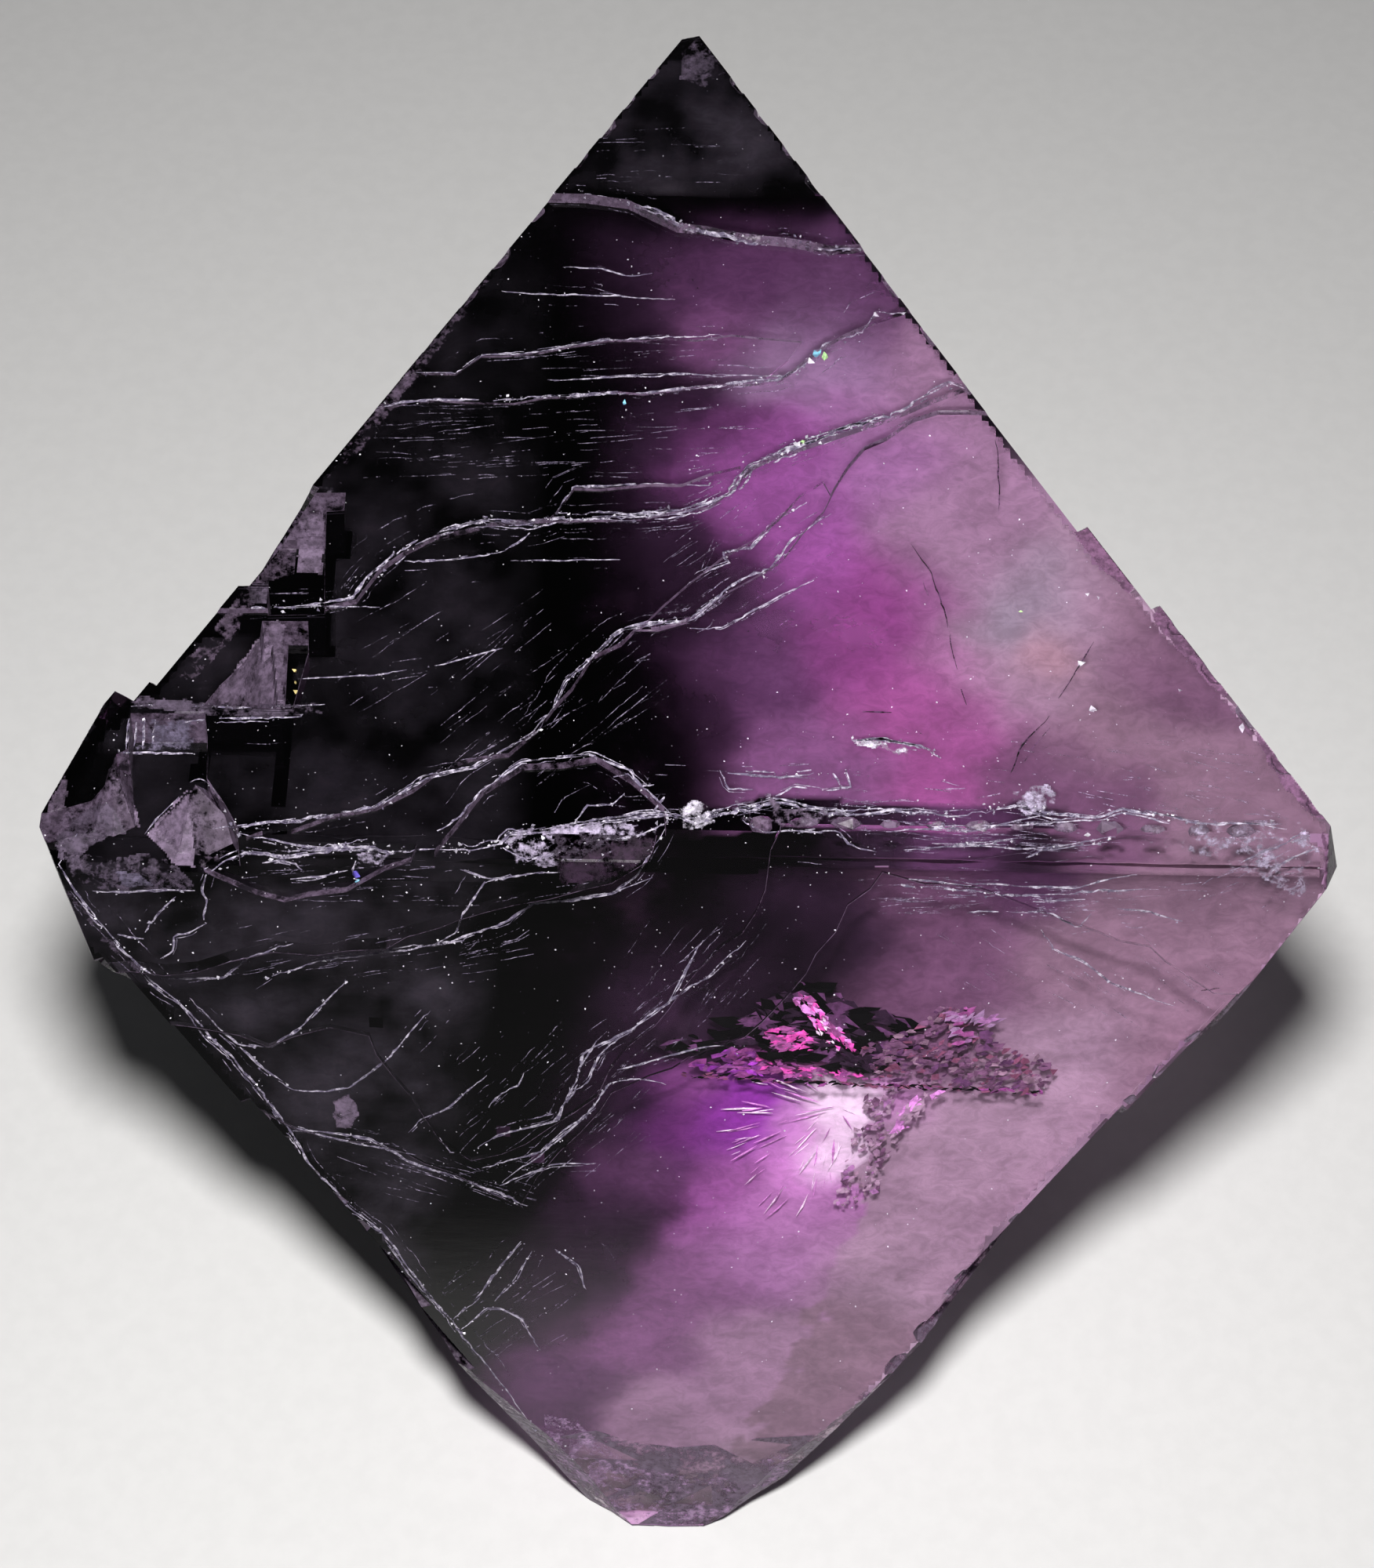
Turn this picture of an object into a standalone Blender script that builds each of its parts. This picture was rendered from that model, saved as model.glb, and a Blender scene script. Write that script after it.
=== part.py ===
"""A cleaved octahedron of violet fluorite, one natural piece, lying on one of its eight faces.

Units are metres and +Z is up. The rest face lies in the plane z = 0. The origin is the point of that
plane below the middle of the octahedron. The worn ridge between the top face and the front face runs
along X, and the front face looks towards -Y. The broken corner touches the ground in front, and the
other corners of the top face stand free above the ground.

The body starts as a block trimmed by the eight cleavage planes. Then come the steps that cleaving
left on the faces, the blocky left corner, the broken corners and lower edges, and the chipped edges.
"""

import math
import random

import bmesh
import bpy
from mathutils import Matrix, Vector, noise

MM = 0.001

# Driving dimensions of the perfect octahedron
EDGE = 36.0 * MM
INRADIUS = EDGE / math.sqrt(6.0)
FACE_LEAN = math.asin(1.0 / 3.0)
MIDDLE = Vector((0.0, 0.0, INRADIUS))
REACH = 3.0 * EDGE

# Compass bearing of each side face in degrees, and whether it looks up or down
SIDE_FACES = {
    "front": (-90.0, 1.0),
    "top_right": (30.0, 1.0),
    "top_left": (150.0, 1.0),
    "back": (90.0, -1.0),
    "low_left": (-150.0, -1.0),
    "low_right": (-30.0, -1.0),
}

# How far the outermost layer of a face stands out from the perfect plane
OUTERMOST = {
    "top": 0.30 * MM,
    "top_left": 0.60 * MM,
    "top_right": 0.22 * MM,
    "front": -0.40 * MM,
    "back": 0.10 * MM,
    "low_left": 0.68 * MM,
    "low_right": 0.75 * MM,
}

# How the wall of a step leans in face coordinates, for each mm outwards: on the top face the walls run
# like the front face, which lies across it. Elsewhere they stand square to their face.
STEP_LEAN = {"top": math.tan(FACE_LEAN)}

# Steps between the layers of the stone. Each one is (face, name, height of the layer beyond the step,
# direction of that layer, points of the step line). The heights count from the perfect plane, and all
# numbers are mm in face coordinates, which start at the middle of the face.
STEPS = [
    ("top", "cap", 0.0, (0, -1),
     [(-6.0, 12.4), (-4.8, 12.9), (-3.4, 12.9), (-2.1, 12.7), (-0.6, 11.8), (1.0, 11.5), (2.7, 11.3),
      (4.1, 11.0), (5.6, 11.2)]),
    ("top", "upper", -0.12, (0, -1),
     [(-10.0, 4.7), (-8.5, 5.0), (-6.0, 5.1), (-3.4, 5.4), (-0.2, 5.8), (2.5, 6.1), (3.2, 6.8),
      (3.9, 7.5), (5.3, 8.4), (6.4, 8.9), (7.8, 9.1)]),
    ("top", "middle", -0.28, (0, -1),
     [(-13.0, -2.4), (-10.7, -2.4), (-9.4, -2.0), (-8.8, -0.9), (-7.3, 0.3), (-5.7, 0.8), (-3.9, 1.0),
      (-1.5, 1.1), (0.5, 1.6), (1.7, 3.0), (3.9, 4.1), (5.7, 4.9), (8.0, 6.1), (9.4, 6.2)]),
    ("top", "lower", -0.42, (0, -1),
     [(-13.4, -10.3), (-9.6, -9.0), (-8.4, -8.7), (-6.7, -7.4), (-4.9, -6.9), (-3.7, -5.3),
      (-2.7, -3.6), (-1.5, -2.6), (-0.1, -2.3), (1.1, -1.2), (2.6, -0.1), (3.8, 1.7), (5.0, 4.0),
      (7.2, 5.4), (9.8, 5.5)]),
    ("front", "brow", -1.2, (0, -1),
     [(-16.6, 5.4), (-13.5, 5.6), (-11.3, 6.4), (-9.3, 6.5), (-8.2, 6.6), (-6.7, 7.4), (-5.4, 8.0),
      (-3.7, 8.5), (-2.0, 9.1), (-0.9, 10.0), (-0.2, 11.4), (0.8, 13.0)]),
    ("front", "stair", -1.45, (0, -1),
     [(-15.8, 3.2), (-13.8, 2.8), (-11.8, 2.1), (-10.0, 2.9), (-8.9, 2.6), (-8.3, 1.1), (-7.0, -1.5),
      (-6.1, -2.3), (-5.2, -2.0), (-3.8, -0.9), (-2.4, 0.4), (-1.5, 2.4), (-0.4, 3.8), (0.4, 5.3),
      (1.6, 6.7), (2.2, 8.3), (2.6, 10.6), (3.4, 13.0)]),
    ("front", "fan", -1.58, (0, -1),
     [(-13.6, -0.1), (-11.2, -1.4), (-8.9, -1.9), (-7.5, -2.7), (-4.7, -4.4), (-4.2, -3.2),
      (-2.9, -1.3), (-2.0, 0.3), (-0.9, 1.0), (0.3, 1.8), (1.8, 2.6), (2.9, 4.1), (3.7, 5.8),
      (4.5, 7.6), (5.4, 8.8), (6.6, 8.4), (8.1, 8.3), (9.9, 7.5), (11.5, 6.8), (13.0, 6.3),
      (15.0, 4.6)]),
    ("top_left", "block_side", 0.0, (-1, 0), [(12.5, 13.0), (12.5, 9.0), (13.6, 4.0), (14.6, -2.0)]),
    ("top_left", "across", -0.25, (0, -1),
     [(-9.0, 3.2), (-4.0, 4.4), (1.0, 3.6), (6.0, 1.6), (11.0, 2.4)]),
    ("top_right", "jog_low", -0.05, (1, 0),
     [(-8.3, 13.0), (-8.0, 9.4), (-10.2, 6.0), (-9.4, 1.0), (-11.2, -6.0)]),
    ("top_right", "jog_high", -0.38, (1, 0),
     [(-4.8, 13.0), (-4.6, 9.6), (-6.2, 7.2), (-5.1, 3.0), (-6.9, -3.0), (-5.3, -9.0), (-6.3, -20.0)]),
    ("top_right", "across", -0.6, (0, -1),
     [(-9.0, 0.5), (-3.0, -0.6), (2.0, 1.2), (7.0, 0.4), (12.0, 2.2)]),
    ("back", "high", -0.12, (0, -1), [(-12.0, 5.0), (-5.0, 3.6), (0.0, 5.2), (6.0, 6.4), (12.0, 5.6)]),
    ("back", "low", -0.34, (0, -1),
     [(-16.0, -1.0), (-7.0, -3.2), (1.0, -1.8), (8.0, -3.0), (16.0, -4.6)]),
    ("low_left", "across", 0.1, (-1, 0),
     [(-2.0, 19.0), (-3.2, 10.0), (-1.4, 4.0), (-4.2, -3.0), (-2.6, -12.0)]),
]

# Shallow layers that end within a face, as (face, name, height of their floor, closed outline)
LAYERS = [
    ("top", "spur", -0.06,
     [(-9.2, 5.6), (-8.2, 6.1), (-7.0, 6.1), (-6.3, 6.8), (-3.8, 7.2), (-2.5, 7.5), (1.1, 7.8),
      (3.2, 7.6), (2.0, 6.0), (-4.0, 5.0), (-9.4, 4.4)]),
    ("top", "branch", -0.21,
     [(-4.2, 0.8), (-3.4, 2.1), (-0.3, 2.3), (1.4, 3.0), (1.0, 1.3), (-2.0, 0.7)]),
    ("top", "leaf", -0.36,
     [(-1.6, -2.9), (-0.1, -1.1), (0.9, -0.1), (2.5, 1.3), (3.8, 2.7), (4.2, 1.2), (1.2, -1.6)]),
    ("top", "loop", -0.62,
     [(-6.9, -10.4), (-6.2, -9.0), (-5.6, -8.0), (-4.5, -7.1), (-2.5, -6.8), (-1.5, -7.5),
      (-0.6, -8.4), (-0.4, -12.0), (-6.9, -12.0)]),
    ("front", "flake", -0.62,
     [(-15.2, 13.0), (-13.6, 9.6), (-10.9, 8.2), (-9.2, 8.6), (-7.4, 9.7), (-6.6, 13.0)]),
    ("top_left", "recess", -0.22,
     [(3.6, 13.0), (3.9, 8.9), (5.2, 6.4), (7.9, 4.9), (10.6, 5.8), (11.6, 8.6), (11.8, 13.0)]),
    ("low_left", "shallow", 0.3,
     [(9.0, 18.0), (1.6, 16.4), (0.4, 9.1), (2.0, 4.2), (5.8, 0.6), (9.6, -1.6), (21.0, -2.4),
      (28.0, 8.0)]),
    ("low_left", "deep", 0.0,
     [(10.0, 10.6), (4.3, 9.6), (3.2, 6.4), (5.2, 3.4), (8.6, 1.0), (21.0, 0.2), (25.0, 7.0)]),
    ("low_right", "shallow", 0.36,
     [(-10.0, 17.3), (-1.2, 16.9), (-1.8, 11.0), (-2.2, 7.0), (-5.0, 2.4), (-9.0, 0.2), (-21.0, -0.6),
      (-25.0, 8.0)]),
    ("low_right", "deep", 0.14,
     [(-10.0, 12.6), (-4.6, 12.0), (-3.4, 6.4), (-6.0, 3.2), (-9.6, 1.6), (-21.0, 1.2), (-23.0, 7.0)]),
]

# Notches of the blocky left corner, as (name, depth of the floor, closed outline on the top face)
NOTCHES = [
    ("far", 1.95,
     [(-9.95, 1.75), (-9.95, 1.1), (-10.45, 1.05), (-10.25, -2.38), (-11.85, -2.46), (-11.9, -1.6),
      (-18.0, -1.9), (-18.0, 1.3)]),
    ("near_shallow", 1.06,
     [(-10.7, -2.62), (-10.6, -3.7), (-10.9, -5.6), (-12.0, -5.6), (-12.0, -2.64)]),
    ("near", 2.9,
     [(-11.3, -2.63), (-11.2, -5.56), (-13.4, -5.56), (-12.95, -4.8), (-12.4, -4.1), (-12.1, -3.4),
      (-11.75, -3.0), (-11.75, -2.63)]),
    ("corner", 1.25,
     [(-15.35, -5.83), (-13.3, -5.78), (-13.05, -7.9), (-12.5, -8.7), (-12.05, -9.5), (-12.3, -13.0),
      (-20.0, -13.0), (-20.0, -9.3), (-17.2, -9.1), (-16.1, -8.7), (-15.8, -8.2), (-15.6, -7.2),
      (-15.3, -7.0)]),
]

# Pointed spurs that are left on the floor of the corner notch, as (name, tip, outline of the foot), in
# mm on the top face. The tip and the foot are (x, y, height).
SPURS = [
    ("near", (-13.3, -8.4, 0.0),
     [(-14.75, -9.2), (-13.9, -10.2), (-12.9, -10.3), (-11.6, -9.5), (-12.4, -8.0), (-13.6, -7.9)]),
    ("far", (-15.55, -7.9, 0.1),
     [(-16.6, -9.4), (-15.6, -9.7), (-14.9, -9.3), (-15.2, -7.3), (-16.4, -7.4)]),
]
SPUR_FOOT = -1.6 * MM

# How ragged a step is: the length of its straight bits and how far they jog aside
STEP_STRIDE = 0.95 * MM
STEP_JOG = 0.15 * MM
NOTCH_STRIDE = 1.4 * MM
NOTCH_JOG = 0.05 * MM

# Planes that blunt the corners of the top face, as (corner, point counted from it, outward direction)
BLUNTED = [
    ("far", (0.0, -0.75, -0.2), (-0.25, 0.85, 0.45)),
    ("left", (0.72, 0.0, 0.0), (-0.97, -0.22, 0.10)),
    ("left", (1.35, -0.6, -2.2), (-0.84, -0.40, -0.05)),
    ("left", (1.8, 4.4, 0.0), (-0.94, 0.34, 0.10)),
    ("right", (-0.95, 0.15, 0.0), (0.95, -0.22, 0.18)),
    ("right", (-0.75, -0.35, -0.7), (0.80, -0.55, -0.20)),
]

# Shell-shaped chips at those corners, as (name, corner, centre counted from it, radius in mm)
CORNER_CHIPS = [
    ("far_tip", "far", (-0.9, 0.2, 0.9), 1.2),
    ("far_side", "far", (1.0, -0.9, 0.6), 0.9),
    ("right_tip", "right", (-0.2, 0.9, 0.9), 1.3),
    ("right_low", "right", (0.6, -0.8, -1.9), 1.4),
    ("left_low", "left", (2.9, -2.8, -5.7), 1.6),
]

# Broken front corner: rough planes, each as (name, point, outward direction)
FRONT_BREAKS = [
    ("middle", (0.0, -18.45, 0.0), (0.02, -0.976, 0.215)),
    ("left", (-1.9, -18.0, 0.0), (-0.48, -0.87, -0.08)),
    ("right", (2.15, -18.1, 0.0), (0.42, -0.91, -0.04)),
]
FRONT_BREAK_SIZE = 30.0 * MM
FRONT_BREAK_CELLS = 24
FRONT_BREAK_RELIEF = 0.20 * MM

# Rough break behind the rest face: where it leaves the ground, how steeply it rises, where its middle
# lies across and behind that line, and how large, fine and rough it is
REST_BACK_Y = 6.2 * MM
REST_BACK_RISE = math.radians(33.0)
REST_BACK_MIDDLE = (2.0 * MM, 2.4 * MM)
REST_BACK_SIZE = 46.0 * MM
REST_BACK_CELLS = 30
REST_BACK_RELIEF = 0.55 * MM

# Broad shell-shaped bites out of the lower edges, as (name, centre in mm, radius in mm)
BITES = [
    ("right", (16.4, -5.0, -14.3), 18.7),
    ("front_right", (21.2, -16.7, -23.8), 31.1),
    ("back", (3.2, 13.0, -6.6), 9.6),
    ("left", (-17.2, 4.6, -8.0), 9.0),
]
BITE_UNEVENNESS = 0.012

# Waves for each mm of a rough break, how far its cells slide aside in shares of a cell, and lumps on
# the skin of a chip for each radius
BREAK_WAVES = 0.22
BREAK_GRAIN = 0.9
BREAK_SLIDE = 0.25
CHIP_LUMPS = 1.7

# Chipped edges, as (two faces that meet, their heights there in mm, the faces at its two ends, the
# share of the edge where the chips start and end, number of chips)
CHIPPED_EDGES = [
    ("top", "top_left", 0.2, 0.0, "top_right", "front", 0.06, 0.22, 4),
    ("top", "top_left", 0.0, 0.0, "top_right", "front", 0.24, 0.52, 5),
    ("top", "top_right", 0.2, -0.4, "top_left", "front", 0.06, 0.24, 4),
    ("top", "top_right", -0.1, -0.4, "top_left", "front", 0.26, 0.60, 6),
    ("top", "top_right", -0.4, 0.2, "top_left", "front", 0.72, 0.95, 5),
    ("top", "front", -0.4, -1.5, "top_left", "top_right", 0.54, 0.95, 12),
    ("front", "low_left", -1.1, 0.5, "top", "bottom", 0.22, 0.32, 3),
    ("front", "low_left", -1.5, 0.0, "top", "bottom", 0.36, 0.62, 7),
    ("front", "low_left", -1.6, 0.6, "top", "bottom", 0.66, 0.78, 3),
    ("front", "low_right", -1.5, 0.2, "top", "bottom", 0.24, 0.60, 9),
    ("front", "low_right", -1.6, 0.55, "top", "bottom", 0.64, 0.78, 3),
    ("top_left", "low_left", 0.0, 0.6, "top", "bottom", 0.16, 0.84, 8),
    ("top_left", "back", -0.1, 0.0, "top", "bottom", 0.14, 0.80, 8),
    ("top_right", "back", -0.5, 0.0, "top", "bottom", 0.14, 0.80, 8),
    ("top_right", "low_right", 0.2, 0.6, "top", "bottom", 0.16, 0.84, 8),
]
CHIP_SMALLEST = 0.24 * MM
CHIP_LARGEST = 0.62 * MM
CHIP_STRETCH = 2.4

FLUORITE_COLOUR = (0.16, 0.05, 0.19, 1.0)
FLUORITE_ROUGHNESS = 0.12
FLUORITE_IOR = 1.434


def face_normal(name):
    """Outward unit normal of a cleavage face."""
    if name == "top":
        return Vector((0.0, 0.0, 1.0))
    if name == "bottom":
        return Vector((0.0, 0.0, -1.0))
    bearing, looks = SIDE_FACES[name]
    level = math.cos(FACE_LEAN)
    angle = math.radians(bearing)
    return Vector((math.cos(angle) * level, math.sin(angle) * level, looks * math.sin(FACE_LEAN)))


def face_frame(name):
    """Matrix from face coordinates (u across, v up the face, w outwards) to the world.

    Its origin is the middle of the perfect face. On the top face u is +X and v is +Y.
    """
    normal = face_normal(name)
    up = Vector((0.0, 1.0, 0.0)) if name in ("top", "bottom") else Vector((0.0, 0.0, 1.0))
    up = (up - normal * up.dot(normal)).normalized()
    across = up.cross(normal)
    frame = Matrix((across, up, normal)).transposed().to_4x4()
    frame.translation = MIDDLE + normal * INRADIUS
    return frame


def meeting_point(*faces):
    """The point that three faces share, each given as (name, height over its perfect plane)."""
    rows = [face_normal(name) for name, _ in faces]
    reach = Vector([face_normal(name).dot(MIDDLE) + INRADIUS + height for name, height in faces])
    return Matrix(rows).inverted() @ reach


def trimmed_block(planes):
    """Mesh of a large block cut down by planes, each given as (point, outward normal)."""
    bm = bmesh.new()
    bmesh.ops.create_cube(bm, size=REACH)
    for point, normal in planes:
        parts = bm.verts[:] + bm.edges[:] + bm.faces[:]
        cut = bmesh.ops.bisect_plane(
            bm, geom=parts, dist=1e-8, plane_co=point, plane_no=normal, clear_outer=True
        )
        rim = [item for item in cut["geom_cut"] if isinstance(item, bmesh.types.BMEdge)]
        bmesh.ops.holes_fill(bm, edges=rim, sides=0)
    bmesh.ops.recalc_face_normals(bm, faces=bm.faces[:])
    return bm


def ragged(points, seed, jog=STEP_JOG, stride=STEP_STRIDE):
    """The corners of a step line with straight bits between them that jog aside, as cleavage does."""
    dice = random.Random(seed)
    line = [points[0]]
    for start, end in zip(points, points[1:]):
        run = end - start
        bits = max(1, round(run.length / stride))
        aside = Vector((-run.y, run.x)).normalized()
        for bit in range(1, bits):
            share = (bit + dice.uniform(-0.25, 0.25)) / bits
            line.append(start + run * share + aside * dice.uniform(-jog, jog))
        line.append(end)
    return line


def prism(frame, outline, floor, lean=0.0):
    """Mesh of a flat outline in face coordinates, drawn out from its floor to well above the face.

    The outline holds at the perfect plane. The walls lean by that much up the face for each step outwards.
    """
    top = EDGE / 4.0
    bm = bmesh.new()
    rim = [bm.verts.new((point.x, point.y + lean * floor, floor)) for point in outline]
    base = bm.faces.new(rim)
    drawn = bmesh.ops.extrude_face_region(bm, geom=[base])
    raised = [item for item in drawn["geom"] if isinstance(item, bmesh.types.BMVert)]
    bmesh.ops.translate(bm, verts=raised, vec=(0.0, lean * (top - floor), top - floor))
    bmesh.ops.recalc_face_normals(bm, faces=bm.faces[:])
    bmesh.ops.triangulate(bm, faces=bm.faces[:])
    bmesh.ops.transform(bm, matrix=frame, verts=bm.verts[:])
    return bm


def beyond(line, toward):
    """Closed outline of all that lies beyond a step line, in the given direction."""
    side = Vector((-toward.y, toward.x))
    if (line[-1] - line[0]).dot(side) < 0.0:
        side = -side
    first = line[0] - side * EDGE
    last = line[-1] + side * EDGE
    return [first, *line, last, last + toward * 1.5 * EDGE, first + toward * 1.5 * EDGE]


def rough_slab(point, normal, size, cells, relief, seed):
    """Cutter with a rough, shell-like underside that takes off all that lies beyond a plane."""
    bm = bmesh.new()
    bmesh.ops.create_grid(bm, x_segments=cells, y_segments=cells, size=size / 2.0)
    drift = Vector((7.3 * seed, 3.1 * seed, 1.7 * seed))
    inner = size / 2.0 - 1e-6
    for vert in bm.verts:
        ripple = noise.fractal(vert.co * (BREAK_WAVES / MM) + drift, 0.9, 2.1, 3)
        vert.co.z += relief * ripple
        if max(abs(vert.co.x), abs(vert.co.y)) < inner:
            slide = noise.noise_vector(vert.co * (BREAK_GRAIN / MM) + drift)
            vert.co.x += BREAK_SLIDE * size / cells * slide.x
            vert.co.y += BREAK_SLIDE * size / cells * slide.y
    drawn = bmesh.ops.extrude_face_region(bm, geom=bm.faces[:])
    raised = [item for item in drawn["geom"] if isinstance(item, bmesh.types.BMVert)]
    for vert in raised:
        vert.co.z = size / 2.0
    bmesh.ops.triangulate(bm, faces=bm.faces[:])
    bmesh.ops.recalc_face_normals(bm, faces=bm.faces[:])
    turn = Vector((0.0, 0.0, 1.0)).rotation_difference(normal).to_matrix().to_4x4()
    turn.translation = point
    bmesh.ops.transform(bm, matrix=turn, verts=bm.verts[:])
    return bm


def scoop(centre, radius, seed, along=Vector((0.0, 0.0, 1.0)), stretch=1.0, fineness=2, unevenness=0.14):
    """Cutter for a shell-shaped chip: a ball with an uneven skin, longer in one direction."""
    bm = bmesh.new()
    bmesh.ops.create_icosphere(bm, subdivisions=fineness, radius=radius)
    drift = Vector((5.1 * seed, 2.3 * seed, 9.7 * seed))
    for vert in bm.verts:
        vert.co *= 1.0 + unevenness * noise.noise(vert.co * (CHIP_LUMPS / radius) + drift)
    dice = random.Random(seed)
    spin = Matrix.Rotation(dice.uniform(0.0, math.tau), 4, Vector((0.0, 0.0, 1.0)))
    longer = Matrix.Scale(stretch, 4, Vector((0.0, 0.0, 1.0)))
    turn = Vector((0.0, 0.0, 1.0)).rotation_difference(along).to_matrix().to_4x4()
    bmesh.ops.transform(bm, matrix=Matrix.Translation(centre) @ turn @ longer @ spin, verts=bm.verts[:])
    return bm


def pointed(frame, tip, foot, depth):
    """Mesh of a pointed spur: a tip above an outline that lies at the given depth."""
    bm = bmesh.new()
    bm.verts.new(Vector(tip) * MM)
    for u, v in foot:
        bm.verts.new((u * MM, v * MM, depth))
    bmesh.ops.convex_hull(bm, input=bm.verts[:])
    bmesh.ops.recalc_face_normals(bm, faces=bm.faces[:])
    bmesh.ops.transform(bm, matrix=frame, verts=bm.verts[:])
    return bm


def merged(meshes):
    """One mesh from several that stay clear of each other."""
    whole = bmesh.new()
    for bm in meshes:
        step = bpy.data.meshes.new("step")
        bm.to_mesh(step)
        bm.free()
        whole.from_mesh(step)
        bpy.data.meshes.remove(step)
    return whole


def edge_chips(start, end, inward, count, seed):
    """Cutter for the small chips along a sharp edge, each partly outside it, none touching the next."""
    dice = random.Random(seed)
    run = (end - start).normalized()
    pitch = (end - start).length / count
    chips = []
    for index in range(count):
        stretch = dice.uniform(1.1, CHIP_STRETCH)
        size = CHIP_SMALLEST + (CHIP_LARGEST - CHIP_SMALLEST) * dice.random() ** 2
        radius = min(size, 0.40 * pitch / stretch)
        along = pitch * (index + 0.5) + dice.uniform(-0.06, 0.06) * pitch
        centre = start + run * along - inward * radius * dice.uniform(0.15, 0.6)
        chips.append(scoop(centre, radius, seed * 100 + index, along=run, stretch=stretch, fineness=1))
    return merged(chips)


def add_object(name, bm, collection):
    """Object that holds a finished mesh."""
    mesh = bpy.data.meshes.new(name)
    bm.to_mesh(mesh)
    bm.free()
    item = bpy.data.objects.new(name, mesh)
    collection.objects.link(item)
    return item


def shape_with(body, name, bm, cutters, operation="DIFFERENCE"):
    """Cuts a mesh out of the body, or joins it on, with an exact Boolean."""
    tool = add_object(name, bm, cutters)
    tool.hide_render = True
    tool.display_type = "WIRE"
    step = body.modifiers.new(name, "BOOLEAN")
    step.object = tool
    step.operation = operation
    step.solver = "EXACT"


def corners():
    """The three corners of the perfect top face, by name."""
    return {
        "far": meeting_point(("top", 0.0), ("top_left", 0.0), ("top_right", 0.0)),
        "left": meeting_point(("top", 0.0), ("front", 0.0), ("top_left", 0.0)),
        "right": meeting_point(("top", 0.0), ("front", 0.0), ("top_right", 0.0)),
    }


def outer_planes():
    """The eight cleavage planes and those that blunt three corners, as (point, normal)."""
    planes = [(MIDDLE + face_normal(name) * (INRADIUS + reach), face_normal(name))
              for name, reach in OUTERMOST.items()]
    planes.append((Vector((0.0, 0.0, 0.0)), face_normal("bottom")))
    at = corners()
    for name, offset, normal in BLUNTED:
        planes.append((at[name] + Vector(offset) * MM, Vector(normal).normalized()))
    return planes


def cut_steps(body, cutters):
    """Steps and shallow layers that cleaving left on the faces."""
    for number, (face, name, height, toward, points) in enumerate(STEPS):
        line = ragged([Vector(point) * MM for point in points], 100 + number)
        outline = beyond(line, Vector(toward))
        step = prism(face_frame(face), outline, height * MM, STEP_LEAN.get(face, 0.0))
        shape_with(body, f"{face}_step_{name}", step, cutters)
    for number, (face, name, height, points) in enumerate(LAYERS):
        line = [Vector(point) * MM for point in points]
        outline = ragged(line + line[:1], 200 + number)[:-1]
        layer = prism(face_frame(face), outline, height * MM, STEP_LEAN.get(face, 0.0))
        shape_with(body, f"{face}_layer_{name}", layer, cutters)


def cut_left_corner(body, cutters):
    """Notches of the blocky left corner, and the pointed spurs that stand in the largest one."""
    frame = face_frame("top")
    for number, (name, depth, points) in enumerate(NOTCHES):
        line = [Vector(point) * MM for point in points]
        outline = ragged(line + line[:1], 300 + number, jog=NOTCH_JOG, stride=NOTCH_STRIDE)[:-1]
        shape_with(body, "notch_" + name, prism(frame, outline, -depth * MM, STEP_LEAN["top"]), cutters)
    for name, tip, foot in SPURS:
        shape_with(body, "spur_" + name, pointed(frame, tip, foot, SPUR_FOOT), cutters, operation="UNION")


def break_corners(body, cutters):
    """The broken front corner and the shell-shaped chips of the other corners."""
    for number, (name, point, direction) in enumerate(FRONT_BREAKS):
        out = Vector(direction).normalized()
        slab = rough_slab(
            Vector(point) * MM, out, FRONT_BREAK_SIZE, FRONT_BREAK_CELLS, FRONT_BREAK_RELIEF, 3 + number
        )
        shape_with(body, "front_break_" + name, slab, cutters)
    at = corners()
    for number, (name, place, offset, radius) in enumerate(CORNER_CHIPS):
        centre = at[place] + Vector(offset) * MM
        shape_with(body, "chip_" + name, scoop(centre, radius * MM, 60 + number), cutters)


def break_lower_edges(body, cutters):
    """The rough break behind the rest face and the bites out of its border."""
    rise = Vector((0.0, math.sin(REST_BACK_RISE), -math.cos(REST_BACK_RISE)))
    across, behind = REST_BACK_MIDDLE
    place = Vector((across, REST_BACK_Y + behind, behind * math.tan(REST_BACK_RISE)))
    slab = rough_slab(place, rise, REST_BACK_SIZE, REST_BACK_CELLS, REST_BACK_RELIEF, 8)
    shape_with(body, "back_break", slab, cutters)
    for number, (name, centre, radius) in enumerate(BITES):
        ball = scoop(Vector(centre) * MM, radius * MM, 80 + number, fineness=4, unevenness=BITE_UNEVENNESS)
        shape_with(body, "bite_" + name, ball, cutters)


def chip_edges(body, cutters):
    """Small chips along the sharp edges."""
    for number, edge in enumerate(CHIPPED_EDGES):
        first, second, first_height, second_height, start_face, end_face, low, high, count = edge
        faces = ((first, first_height * MM), (second, second_height * MM))
        start = meeting_point(*faces, (start_face, 0.0))
        end = meeting_point(*faces, (end_face, 0.0))
        inward = -(face_normal(first) + face_normal(second)).normalized()
        chips = edge_chips(start.lerp(end, low), start.lerp(end, high), inward, count, 400 + number)
        shape_with(body, f"edge_chips_{number}", chips, cutters)


def fluorite():
    """Material of the stone: see-through, deep violet."""
    material = bpy.data.materials.new("violet_fluorite")
    material.use_nodes = True
    shader = material.node_tree.nodes["Principled BSDF"]
    shader.inputs["Base Color"].default_value = FLUORITE_COLOUR
    shader.inputs["Roughness"].default_value = FLUORITE_ROUGHNESS
    shader.inputs["Metallic"].default_value = 0.0
    shader.inputs["IOR"].default_value = FLUORITE_IOR
    shader.inputs["Transmission Weight"].default_value = 1.0
    return material


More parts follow.
